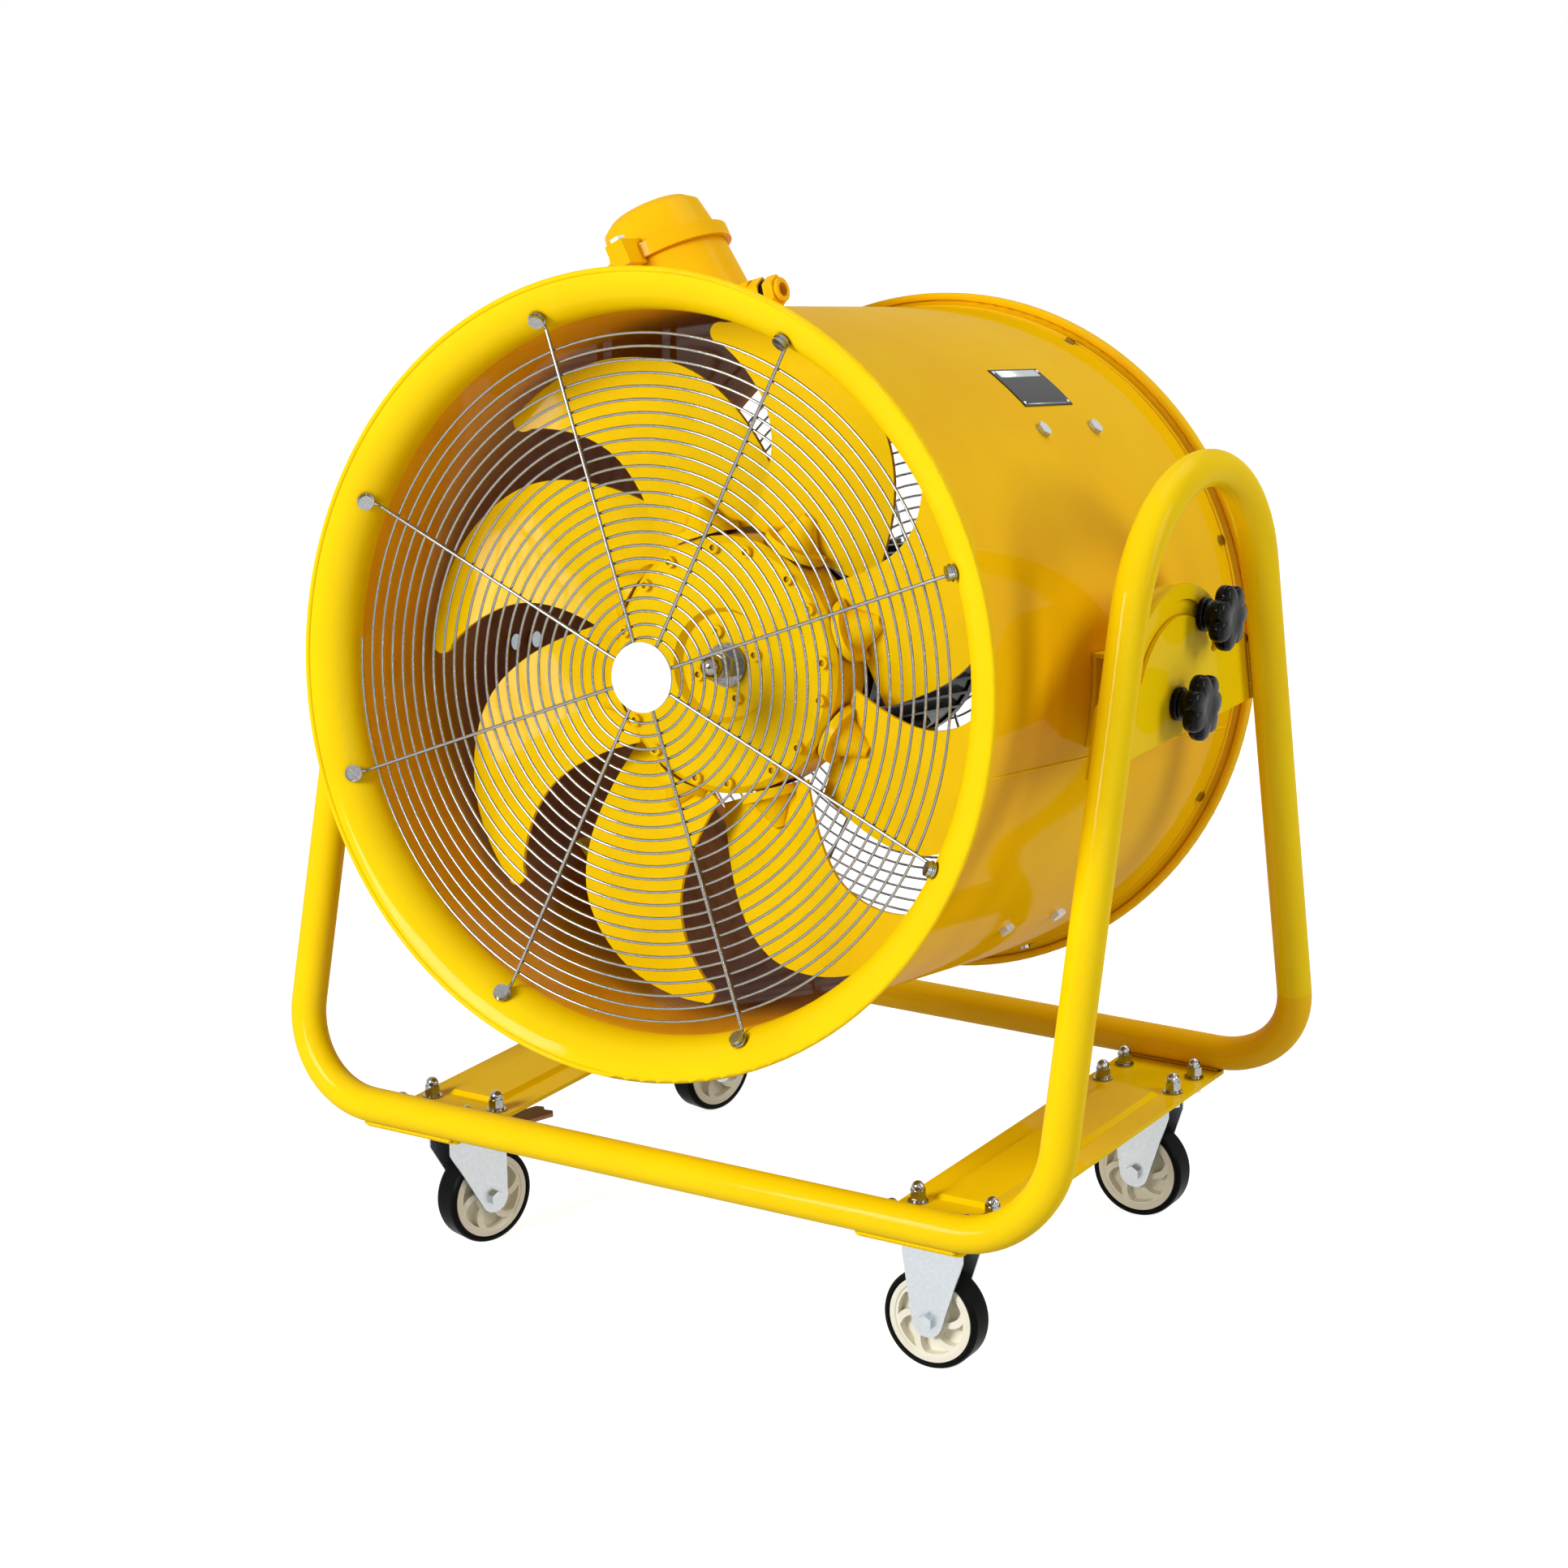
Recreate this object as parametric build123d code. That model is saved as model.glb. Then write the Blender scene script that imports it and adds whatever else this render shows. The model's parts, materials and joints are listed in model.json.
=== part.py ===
from build123d import *
import os
from math import atan, cos, radians, sin, sqrt

# Explosion-proof blower: a 24 inch duct fan in a tilting drum, carried by a bent tube frame on casters.
# Millimetres. X to the right, the air inlet faces -Y, Z up. The origin is on the floor under the
# drum's pivot.

# Frame
TUBE_R = 16.0
TUBE_WALL = 2.0
ARCH_X = 384.0
RAIL_Y = 258.6
RAIL_Z = 150.0
LEG_LEAN = 0.256
ARCH_CENTRE_Z = 621.8
BEND_R = 85.0

# Drum
PIVOT_Z = 552.5
DRUM_TILT = 7.32
DRUM_R = 305.0
DRUM_WALL = 3.0
DRUM_FRONT = -245.0
DRUM_BACK = 258.0
BELL_R = 35.0
FLARE_R = 13.0
FLARE_LIP_R = 3.5
FLARE_BAND = 6.0
STEP_BEAD_R = 2.0
RIM_BEAD_R = 2.5

# Tilt gear
PLATE_T = 4.0
PLATE_TOP_R = 103.0
PLATE_BOTTOM_DROP = 28.0
PLATE_SHOULDER = 28.0
DISH_R = 100.0
DISH_FLAT = 15.0
DISH_GAP = 0.5
DISH_LIP = 14.0
FOOT_FRONT = -42.0
FOOT_BACK = 48.0
FOOT_HALF = 40.0
WALL_ELBOW = 20.0
TILT_HEAD_AF = 16.0
BRACKET_SPREAD = 4.5
BRACKET_BOLTS = (-14.0, 20.0)
CLAMP_R = 83.0
CLAMP_REST = 35.0
SLOT_FRONT = 62.0
SLOT_BACK = 63.0
SCREW_R = 6.0
SLOT_R = 7.0
RUNNING = 0.05

# Knobs
KNOB_R = 29.0
KNOB_REACH = 32.0
KNOB_HEAD_T = 14.0
KNOB_NECK_R = 12.0
KNOB_COLLAR_R = 14.5
KNOB_COLLAR_T = 6.0
KNOB_LOBES = 7
KNOB_GAP = 0.3

# Cross plates and casters
CROSS_X = 256.0
CROSS_W = 102.0
CROSS_L = 524.0
CROSS_T = 4.0
HAT_RISE = 4.0
HAT_L = 330.0
CASTER_Y = 201.0
CASTER_H = 130.0
CASTER_PLATE_X = 92.0
CASTER_PLATE_Y = 64.0
CASTER_PLATE_T = 4.0
BOLT_DX = 72.0
BOLT_DY = 46.0
BOLT_R = 4.0
BOLT_AF = 13.0
BOLT_HEAD_T = 5.3
BOLT_CLEAR = 0.2
WHEEL_R = 45.0
WHEEL_W = 27.0
WHEEL_CORE_R = 39.0
AXLE_R = 4.0
FORK_GAP = 30.0
FORK_T = 2.5
FORK_EYE_R = 14.5
FIXED_SHIFT = -4.5
SWIVEL_TRAIL = 36.0
SWIVEL_TURN = {"front": 18.4, "rear": 12.2}
KING_PIN_R = 6.0
RACE_H = 7.0
SWIVEL_GAP = 0.3
CROWN_T = 3.5
PEDAL_PIN_ALONG = 44.0
PEDAL_PIN_Z = 103.5
PEDAL_PIN_R = 3.0

# Guards
WIRE_R = 1.2
WIRE_PITCH = 10.98
WIRE_TURNS = 25
WIRE_OUTER_R = 300.0
GUARD_S = -259.0
BACK_GUARD_S = 246.5
SPOKE_R = 1.5
SPOKES = 8
SPOKE_ANGLE = 22.5
EYE_R = 5.0
DISC_R = 29.5
DISC_T = 2.0
GUARD_SCREW_R = 3.0
FRONT_SCREW_RADIUS = 314.7
BACK_SCREW_S = 252.0
SEAT = 0.1

# Impeller
HUB_R = 112.0
HUB_FRONT = -136.0
ROOT_S = -106.0
HUB_BACK = -80.0
ROOT_R = 14.0
ROOT_FLANGE_R = 28.0
ROOT_FLANGE_T = 8.0
BLADES = 8
BLADE_ANGLE = 20.5
BLADE_T = 4.0
HUB_BOLT_CIRCLE = 102.0
HUB_BOLT_SPREAD = 9.2
HUB_BOLT_R = 3.0
HUB_BOLT_HEAD_R = 5.0
HUB_BOLT_KEY_AF = 5.0
BOSS_R = 46.0
BOSS_DEPTH = 9.0
BOSS_BOLT_CIRCLE = 30.0
BOSS_BOLT_HEAD_R = 5.5
SHAFT_STUD_R = 8.0
SHAFT_STUD = 22.0
SHAFT_WASHER_R = 19.0
SHAFT_WASHER_T = 4.0
SHAFT_NUT_AF = 27.0
SHAFT_NUT_TOP = 18.0
SHAFT_DOME_R = 12.0
SHAFT_DOME_TOP = 25.0
SHAFT_TIP_R = 11.0

# Motor
MOTOR_R = 90.0
FIN_R = 97.0
FINS = 40
MOTOR_FRONT = -58.0
MOTOR_BODY_FRONT = -20.0
MOTOR_BODY_BACK = 162.0
MOTOR_BACK = 200.0
STATOR_BORE_R = 50.0
AIR_GAP = 1.0
SHAFT_R = 14.0
ARM_T = 5.0
ARM_BOLTS = (10.0, 110.0)
ARM_FOOT = 34.0
ARM_FOOT_T = 4.0
COVER_WALL = 10.0
COVER_DEPTH = 26.0
PAD_R = 100.0

# Wiring
BOX_ANGLE = 121.0
BOX_S = 60.0
BOX_R = 55.0
BOX_BASE_R = 65.0
BOX_FLANGE_R = 61.0
BOX_FLANGE_LOW = 81.5
BOX_FLANGE_HIGH = 95.0
BOX_TOP = 133.0
BOX_ROOT = -25.0
BOX_BASE_TOP = 10.0
BOX_NECK = 36.0
BOX_FLOOR = 12.0
BOX_CAP_BASE_R = 53.0
BOX_CAP_TOP_R = 44.0
EAR_OFFSET = 73.0
EAR_INSIDE = 48.0
EAR_OUTSIDE = 84.0
EAR_WIDTH = 19.0
EAR_LOW = 77.0
EAR_HIGH = 101.0
BOX_CHAMBER_R = 49.0
CAP_CHAMBER_R = 39.0
GLAND_DIP = 13.0
GLAND_LIFT = 17.0
GLAND_BORE_R = 6.5
GLAND_NIPPLE_R = 10.0
GLAND_SOCKET_R = 16.0
GLAND_RECESS_R = 17.5
GLAND_BODY_AF = 28.0
GLAND_BODY_T = 11.0
GLAND_SEAL_R = 12.5
GLAND_SEAL_T = 5.0
GLAND_NUT_AF = 26.0
GLAND_RING_R = 11.0
GLAND_RING_T = 4.0
GLAND_SEAT = 20.0
GLAND_END = 50.0
PLATE_LENGTH = 91.0
PLATE_WIDTH = 48.0
PLATE_ANGLE = 54.7
PLATE_S = 61.0

SIDES = {"left": -1, "right": 1}
ENDS = {"front": -1, "rear": 1}
SHELL_R = DRUM_R + DRUM_WALL
LEG_ANGLE = atan(LEG_LEAN)
CROSS_Z = RAIL_Z - TUBE_R
MIN_END = (Align.CENTER, Align.CENTER, Align.MIN)

parts = {}


# Helpers

def rod(start, end, radius):
    """Round bar between two points."""
    start = Vector(start)
    along = Vector(end) - start
    return Plane(origin=start, z_dir=along) * Cylinder(radius, along.length, align=MIN_END)


def hexagon(start, end, across_flats):
    """Hexagon bar between two points."""
    start = Vector(start)
    along = Vector(end) - start
    outline = RegularPolygon(across_flats / sqrt(3), 6)
    return Plane(origin=start, z_dir=along) * extrude(outline, along.length)


def turned(points, axis=Axis.Y):
    """Solid turned about the drum axis from (radius, station) points."""
    return revolve(make_face(Polyline(*points, close=True)), axis)


def around(shape, angle):
    """Turn a piece about the drum axis, counter-clockwise seen from the inlet."""
    return Rot(Y=-angle) * shape


def on_drum(shape):
    """Carry a piece from drum coordinates (X, station along the axis, up) to the tilted drum."""
    return Location((0, 0, PIVOT_Z), (-DRUM_TILT, 0, 0)) * shape


def solids_of(shapes):
    """Every separate solid in a list of shapes."""
    found = []
    for shape in shapes:
        found.extend(shape.solids())
    return found


def add(name, *shapes):
    """Keep one sub-part, one solid or a group of separate solids."""
    solids = solids_of(shapes)
    parts[name] = solids[0] if len(solids) == 1 else Compound(solids)


def bolt(seat, direction, grip, across_flats, shank_r=BOLT_R, reach=6.0):
    """Hexagon bolt whose head sits at `seat` and whose shank runs along `direction`."""
    seat = Vector(seat)
    direction = Vector(direction).normalized()
    head = hexagon(seat - direction * (0.7 * across_flats / 2), seat, across_flats)
    return head + rod(seat, seat + direction * (grip + reach), shank_r)


def nut(seat, direction, across_flats, shank_r=BOLT_R, height=5.5):
    """Plain hexagon nut that starts at `seat`."""
    seat = Vector(seat)
    direction = Vector(direction).normalized()
    end = seat + direction * height
    return hexagon(seat, end, across_flats) - rod(seat - direction, end + direction, shank_r)


# Tube frame

def tube(path):
    """Hollow round tube along a path."""
    ring = Circle(TUBE_R) - Circle(TUBE_R - TUBE_WALL)
    return sweep(Plane(origin=path @ 0, z_dir=path % 0) * ring, path=path)


def leg_direction(end):
    """Unit vector up a leg: it leans towards the middle of the frame."""
    return Vector(0, -end * sin(LEG_ANGLE), cos(LEG_ANGLE))


def rail(end):
    """Lower rail with both ends bent up into the legs."""
    up = leg_direction(end)
    points = []
    for side in (-1, 1):
        corner = Vector(side * ARCH_X, end * RAIL_Y, RAIL_Z)
        inward = Vector(-side, 0, 0)
        centre = corner + (inward + up) * BEND_R
        bend = [corner + up * BEND_R, centre - (inward + up) * (BEND_R / sqrt(2)), corner + inward * BEND_R]
        points.append(bend)
    left, right = points
    path = Wire([
        Edge.make_three_point_arc(*left),
        Edge.make_line(left[2], right[2]),
        Edge.make_three_point_arc(*reversed(right)),
    ])
    return tube(path)


def arch(side):
    """Inverted U on one side: two leaning legs joined by a round top."""
    x = side * ARCH_X
    height = ARCH_CENTRE_Z - RAIL_Z
    radius = (RAIL_Y - LEG_LEAN * height) * cos(LEG_ANGLE)
    start = {}
    tangent = {}
    for name, end in ENDS.items():
        start[name] = Vector(x, end * RAIL_Y, RAIL_Z) + leg_direction(end) * BEND_R
        tangent[name] = Vector(x, end * radius * cos(LEG_ANGLE), ARCH_CENTRE_Z + radius * sin(LEG_ANGLE))
    top = Vector(x, 0, ARCH_CENTRE_Z + radius)
    path = Wire([
        Edge.make_line(start["front"], tangent["front"]),
        Edge.make_three_point_arc(tangent["front"], top, tangent["rear"]),
        Edge.make_line(tangent["rear"], start["rear"]),
    ])
    return tube(path)


def leg_y(z):
    """Distance of a leg's centre line from the middle at a height."""
    return RAIL_Y - LEG_LEAN * (z - RAIL_Z)


def trunnion_plate(side):
    """Plate welded across an arch, with the pivot hole and the curved clamp slot."""
    low = PIVOT_Z - PLATE_BOTTOM_DROP
    high = PIVOT_Z + PLATE_SHOULDER
    wide_low = leg_y(low)
    wide_high = leg_y(high)
    round_top = Pos(0, PIVOT_Z) * Circle(PLATE_TOP_R)
    skirt = Polygon(
        (-wide_low, low), (wide_low, low), (wide_high, high), (-wide_high, high), align=None
    )
    whole = make_hull((round_top + skirt).edges())
    keep = Pos(0, low) * Rectangle(4 * DRUM_R, 2 * DRUM_R, align=(Align.CENTER, Align.MIN))
    slot_line = CenterArc((0, PIVOT_Z), CLAMP_R, 90 - SLOT_BACK, SLOT_BACK + SLOT_FRONT)
    slot = SlotArc(slot_line, 2 * SLOT_R)
    pivot = Pos(0, PIVOT_Z) * Circle(SCREW_R + RUNNING)
    face = (whole & keep) - slot - pivot
    inner = ARCH_X - TUBE_R - PLATE_T
    start = inner if side > 0 else -inner - PLATE_T
    return extrude(Plane.YZ.offset(start) * face, PLATE_T)


def frame_parts():
    for name, end in ENDS.items():
        add(f"frame_rail_{name}", rail(end))
    for name, side in SIDES.items():
        add(f"frame_arch_{name}", arch(side))
        add(f"trunnion_plate_{name}", trunnion_plate(side))


# Cross plates and caster fasteners

def caster_bolt_points():
    for side in SIDES.values():
        for end in ENDS.values():
            for dx in (-0.5, 0.5):
                for dy in (-0.5, 0.5):
                    yield side * CROSS_X + dx * BOLT_DX, end * CASTER_Y + dy * BOLT_DY


def bolt_holes(low, high):
    """Cutters for every caster bolt between two heights."""
    cutters = []
    for x, y in caster_bolt_points():
        cutters.append(rod((x, y, low - 1), (x, y, high + 1), BOLT_R + BOLT_CLEAR))
    return cutters


def cross_plate(side):
    """Pressed steel plate under both rails, with a raised middle."""
    low = CROSS_Z - CROSS_T
    sheet = Pos(side * CROSS_X, 0, low) * Box(CROSS_W, CROSS_L, CROSS_T, align=MIN_END)
    hat_w = 0.46 * CROSS_W
    skin = CROSS_T
    top = Plane.XY.offset(CROSS_Z + HAT_RISE)
    bottom = Plane.XY.offset(CROSS_Z)
    hat = loft([bottom * Rectangle(hat_w + 2 * HAT_RISE, HAT_L), top * Rectangle(hat_w, HAT_L - 2 * HAT_RISE)])
    cavity = loft([
        Plane.XY.offset(low - 1) * Rectangle(hat_w + 2 * HAT_RISE - skin, HAT_L - skin),
        Plane.XY.offset(CROSS_Z + HAT_RISE - skin) * Rectangle(hat_w - skin, HAT_L - 3 * skin),
    ])
    plate = sheet + Pos(side * CROSS_X, 0, 0) * hat - Pos(side * CROSS_X, 0, 0) * cavity
    for cutter in bolt_holes(low, CROSS_Z):
        plate = plate - cutter
    return fillet_upright(plate, 5.0)


def fillet_upright(shape, radius):
    """Round the four outer upright corners of a flat plate."""
    box = shape.bounding_box()
    corners = []
    for edge in shape.edges().filter_by(Axis.Z):
        spot = edge.center()
        if min(abs(spot.X - box.min.X), abs(spot.X - box.max.X)) < 0.01:
            if min(abs(spot.Y - box.min.Y), abs(spot.Y - box.max.Y)) < 0.01:
                corners.append(edge)
    return fillet(corners, radius)


def cap_nut(x, y, base):
    """Domed nut on its washer and spring washer."""
    washer = Pos(x, y, base) * Cylinder(9.0, 1.6, align=MIN_END)
    spring = Pos(x, y, base + 1.6) * Cylinder(7.0, 2.0, align=MIN_END)
    hex_low = base + 3.6
    hex_high = hex_low + 7.5
    dome_r = 5.8
    dome_z = base + 19.0 - dome_r
    body = hexagon((x, y, hex_low), (x, y, hex_high), BOLT_AF)
    body = body + rod((x, y, hex_high), (x, y, dome_z), dome_r) + Pos(x, y, dome_z) * Sphere(dome_r)
    pin = rod((x, y, base - 1), (x, y, dome_z - 0.5), BOLT_R)
    return [washer - pin, spring - pin, body - pin]


def caster_fastening():
    base = CASTER_H - CASTER_PLATE_T
    bolts = []
    nuts = []
    for x, y in caster_bolt_points():
        head = hexagon((x, y, base - BOLT_HEAD_T), (x, y, base), BOLT_AF)
        bolts.append(head + rod((x, y, base), (x, y, CROSS_Z + 12.5), BOLT_R))
        nuts.extend(cap_nut(x, y, CROSS_Z))
    add("caster_bolts", *bolts)
    add("caster_nuts", *nuts)
    plates = []
    for side in SIDES.values():
        for end in ENDS.values():
            spot = Pos(side * CROSS_X, end * CASTER_Y, base)
            plate = spot * Box(CASTER_PLATE_X, CASTER_PLATE_Y, CASTER_PLATE_T, align=MIN_END)
            if side < 0:
                low = spot * Pos(0, 0, -RACE_H)
                plate = plate + low * Cylinder(22.0, RACE_H, align=MIN_END)
                plate = plate - low * Pos(0, 0, -1) * Cylinder(KING_PIN_R, 20.0, align=MIN_END)
            for cutter in bolt_holes(base, CASTER_H):
                plate = plate - cutter
            plates.append(fillet_upright(plate, 8.0))
    add("caster_plates", *plates)


# Wheels: built with the axle along Y at the origin

def wheel_core():
    """Plastic wheel centre with six curved pockets on each face."""
    half = WHEEL_W / 2
    profile = [
        (AXLE_R + RUNNING, -half - 1.2), (12.5, -half - 1.2), (13.5, -half + 2.5), (33.5, -half + 2.5),
        (34.5, -half + 1.5), (WHEEL_CORE_R, -half + 1.5), (WHEEL_CORE_R, half - 1.5), (34.5, half - 1.5),
        (33.5, half - 2.5), (13.5, half - 2.5), (12.5, half + 1.2), (AXLE_R + RUNNING, half + 1.2),
    ]
    core = turned(profile)
    pocket = swirl_pocket(15.5, 31.5, 43.0, 22.0)
    depth = 7.5
    for face in (-1, 1):
        start = face * (half - 2.5 - depth / 2)
        cutter = Plane.XZ.offset(-start) * extrude(pocket, depth / 2 + 1, both=True)
        for number in range(6):
            core = core - around(cutter, 60 * number)
    return core


def swirl_pocket(inner, outer, spread, sweep_angle):
    """Outline of one pocket: its two sides curve back as they go out."""
    def polar(radius, angle):
        return radius * cos(radians(angle)), radius * sin(radians(angle))

    middle = (inner + outer) / 2
    lean = 0.3 * sweep_angle
    line = ThreePointArc(polar(inner, 0), polar(inner, spread / 2), polar(inner, spread))
    line += ThreePointArc(
        polar(inner, spread), polar(middle, spread + lean), polar(outer, spread + sweep_angle)
    )
    line += ThreePointArc(
        polar(outer, spread + sweep_angle), polar(outer, spread / 2 + sweep_angle), polar(outer, sweep_angle)
    )
    line += ThreePointArc(polar(outer, sweep_angle), polar(middle, lean), polar(inner, 0))
    return make_face(line)


def tyre():
    half = WHEEL_W / 2
    corner = 4.0
    profile = [
        (WHEEL_CORE_R, -half + 1.5), (WHEEL_R - corner, -half), (WHEEL_R - 1.2, -half + 1.2),
        (WHEEL_R, -half + corner), (WHEEL_R, half - corner), (WHEEL_R - 1.2, half - 1.2),
        (WHEEL_R - corner, half), (WHEEL_CORE_R, half - 1.5),
    ]
    return turned(profile)


def leg_outline(top_low, top_high, top_z, axle_x):
    """Side view of a fork leg, which tapers to a round end about the axle."""
    eye = Pos(axle_x, WHEEL_R) * Circle(FORK_EYE_R)
    top = Polygon((top_low, top_z - 22), (top_high, top_z - 22), (top_high, top_z), (top_low, top_z), align=None)
    return make_hull((eye + top).edges())


def fork(top_low, top_high, top_z, axle_x, crown):
    """Pressed fork: a crown and two legs either side of the wheel, in caster coordinates."""
    outline = leg_outline(top_low, top_high, top_z, axle_x)
    bore = Pos(axle_x, WHEEL_R) * Circle(AXLE_R)
    inner = FORK_GAP / 2
    body = crown
    for side in (-1, 1):
        start = inner if side > 0 else -inner - FORK_T
        leg = Plane.XZ.offset(-start - FORK_T) * extrude(outline - bore, FORK_T)
        body = body + leg
    return body


def axle_bolt(axle_x):
    """Axle: hexagon head on one side of the fork and a nut on the other."""
    reach = FORK_GAP / 2 + FORK_T
    head = hexagon((axle_x, -reach - BOLT_HEAD_T, WHEEL_R), (axle_x, -reach, WHEEL_R), BOLT_AF)
    shank = rod((axle_x, -reach, WHEEL_R), (axle_x, reach + 9.0, WHEEL_R), AXLE_R)
    return [head + shank, nut((axle_x, reach, WHEEL_R), (0, 1, 0), BOLT_AF, AXLE_R, 6.5)]


def pedal():
    """Brake lever on its own pin behind the fork, with the shoe above the tyre."""
    x, z = PEDAL_PIN_ALONG, PEDAL_PIN_Z
    half = FORK_GAP / 2 - 1.5
    barrel = rod((x, -half, z), (x, half, z), 5.5)
    arm = Pos(x + 16, 0, z + 3.4) * Box(32, 2 * half - 3, 3.6)
    tread_outline = Polygon(
        (x + 30, -13), (x + 64, -13), (x + 68, -7), (x + 64, 0), (x + 68, 7), (x + 64, 13), (x + 30, 13),
        align=None,
    )
    tread = Pos(0, 0, z + 1.6) * extrude(tread_outline, 3.6)
    shoe = Pos(x + 11, 0, z - 4.5) * Box(12, 18, 14)
    bore = rod((x, -half - 1, z), (x, half + 1, z), PEDAL_PIN_R + RUNNING)
    return barrel + arm + tread + shoe - bore


def swivel_crown(top_z):
    disc = Pos(0, 0, top_z - CROWN_T) * Cylinder(27.0, CROWN_T, align=MIN_END)
    width = FORK_GAP + 2 * FORK_T
    tail = Pos(25.0, 0, top_z - CROWN_T) * Box(50.0, width, CROWN_T, align=MIN_END)
    hole = Pos(0, 0, top_z - 10) * Cylinder(KING_PIN_R + RUNNING, 20.0, align=MIN_END)
    return disc + tail - hole


def caster_parts():
    base = CASTER_H - CASTER_PLATE_T
    forks = []
    axles = []
    pins = []
    for end_name, end in ENDS.items():
        spot = Pos(CROSS_X, end * CASTER_Y, 0)
        crown = Pos(0, 0, base - CROWN_T) * Box(58.0, FORK_GAP + 2 * FORK_T, CROWN_T, align=MIN_END)
        forks.append(spot * fork(-29.0, 29.0, base, FIXED_SHIFT, crown))
        for piece in axle_bolt(FIXED_SHIFT):
            axles.append(spot * piece)
        hub = spot * Pos(FIXED_SHIFT, 0, WHEEL_R)
        add(f"wheel_{end_name}_right", hub * wheel_core())
        add(f"tyre_{end_name}_right", hub * tyre())

        top_z = base - RACE_H - SWIVEL_GAP
        turn = Pos(-CROSS_X, end * CASTER_Y, 0) * Rot(Z=90 - SWIVEL_TURN[end_name])
        add(f"fork_{end_name}_left", turn * fork(-12.0, 50.0, top_z, SWIVEL_TRAIL, swivel_crown(top_z)))
        reach = FORK_GAP / 2 + FORK_T + 2.0
        pedal_pin = rod(
            (PEDAL_PIN_ALONG, -reach, PEDAL_PIN_Z), (PEDAL_PIN_ALONG, reach, PEDAL_PIN_Z), PEDAL_PIN_R
        )
        parts[f"fork_{end_name}_left"] = parts[f"fork_{end_name}_left"] - turn * pedal_pin
        pieces = axle_bolt(SWIVEL_TRAIL) + [pedal_pin]
        add(f"axle_{end_name}_left", *[turn * piece for piece in pieces])
        add(f"brake_pedal_{end_name}_left", turn * pedal())
        hub = turn * Pos(SWIVEL_TRAIL, 0, WHEEL_R)
        add(f"wheel_{end_name}_left", hub * wheel_core())
        add(f"tyre_{end_name}_left", hub * tyre())
        under = top_z - CROWN_T - SWIVEL_GAP
        pin = Cylinder(KING_PIN_R, CASTER_H - under, align=MIN_END) + Pos(0, 0, -3) * Cylinder(10.0, 3.0, align=MIN_END)
        pins.append(Pos(-CROSS_X, end * CASTER_Y, under) * pin)
    add("forks_right", *forks)
    add("axles_right", *axles)
    add("caster_king_pins", *pins)


# Drum

def drum_bolt_points():
    """Angle and station of the bolts through the wall: motor arms, then tilt brackets."""
    for quarter in range(4):
        for station in ARM_BOLTS:
            yield "arm", 45 + 90 * quarter, station
    for middle in (0, 180):
        for spread in (-BRACKET_SPREAD, BRACKET_SPREAD):
            for station in BRACKET_BOLTS:
                yield "bracket", middle + spread, station


def wall_hole(angle, station, radius):
    """Radial cutter through the wall."""
    return around(rod((DRUM_R - 8, station, 0), (SHELL_R + 8, station, 0), radius), angle)


def drum_shell():
    shell = turned([(DRUM_R, DRUM_FRONT), (SHELL_R, DRUM_FRONT), (SHELL_R, DRUM_BACK), (DRUM_R, DRUM_BACK)])
    for _, angle, station in drum_bolt_points():
        shell = shell - wall_hole(angle, station, BOLT_R + BOLT_CLEAR)
    for number in range(SPOKES):
        shell = shell - wall_hole(SPOKE_ANGLE + 45 * number, BACK_SCREW_S, GUARD_SCREW_R)
    return shell


def bell_profile(start, radius, direction):
    """Quarter-round lip that turns outward from the wall, with a bead on its edge."""
    centre = (DRUM_R + radius, start)
    outer = radius - DRUM_WALL
    mid = 1 / sqrt(2)
    tip = start + direction * radius
    line = ThreePointArc(
        (DRUM_R, start), (centre[0] - radius * mid, start + direction * radius * mid), (centre[0], tip)
    )
    line += Line((centre[0], tip), (centre[0], tip - direction * DRUM_WALL))
    line += ThreePointArc(
        (centre[0], tip - direction * DRUM_WALL),
        (centre[0] - outer * mid, start + direction * outer * mid),
        (SHELL_R, start),
    )
    line += Line((SHELL_R, start), (DRUM_R, start))
    return make_face(line)


def front_rim():
    bell = bell_profile(DRUM_FRONT, BELL_R, -1)
    bead = Pos(DRUM_R + BELL_R - 2, DRUM_FRONT - BELL_R + 1) * Circle(RIM_BEAD_R)
    rim = revolve(bell + bead, Axis.Y)
    for number in range(SPOKES):
        point, normal = bell_spot(0)
        cutter = rod(point - normal * 6, point + normal * 6, GUARD_SCREW_R)
        rim = rim - around(cutter, SPOKE_ANGLE + 45 * number)
    return rim


def rear_rim():
    flare = bell_profile(DRUM_BACK, FLARE_R, 1)
    step = Pos(SHELL_R, DRUM_BACK + STEP_BEAD_R) * Circle(STEP_BEAD_R)
    lip_form = SlotCenterToCenter(FLARE_BAND, 2 * FLARE_LIP_R, rotation=90)
    lip = Pos(DRUM_R + FLARE_R, DRUM_BACK + FLARE_R - DRUM_WALL / 2) * lip_form
    rim = revolve(flare + step + lip, Axis.Y)
    return rim - turned([(0, DRUM_BACK - 9), (DRUM_R, DRUM_BACK - 9), (DRUM_R, DRUM_BACK + 9), (0, DRUM_BACK + 9)])


def bell_spot(lift):
    """Guard screw's place on the lip in the XY plane, lifted off along the outward normal."""
    inward = DRUM_R + BELL_R - FRONT_SCREW_RADIUS
    drop = sqrt(BELL_R ** 2 - inward ** 2)
    normal = Vector(inward, drop, 0).normalized()
    normal = Vector(-normal.X, -normal.Y, 0)
    point = Vector(FRONT_SCREW_RADIUS, DRUM_FRONT - drop, 0)
    return point + normal * lift, normal


# Guards

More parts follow.
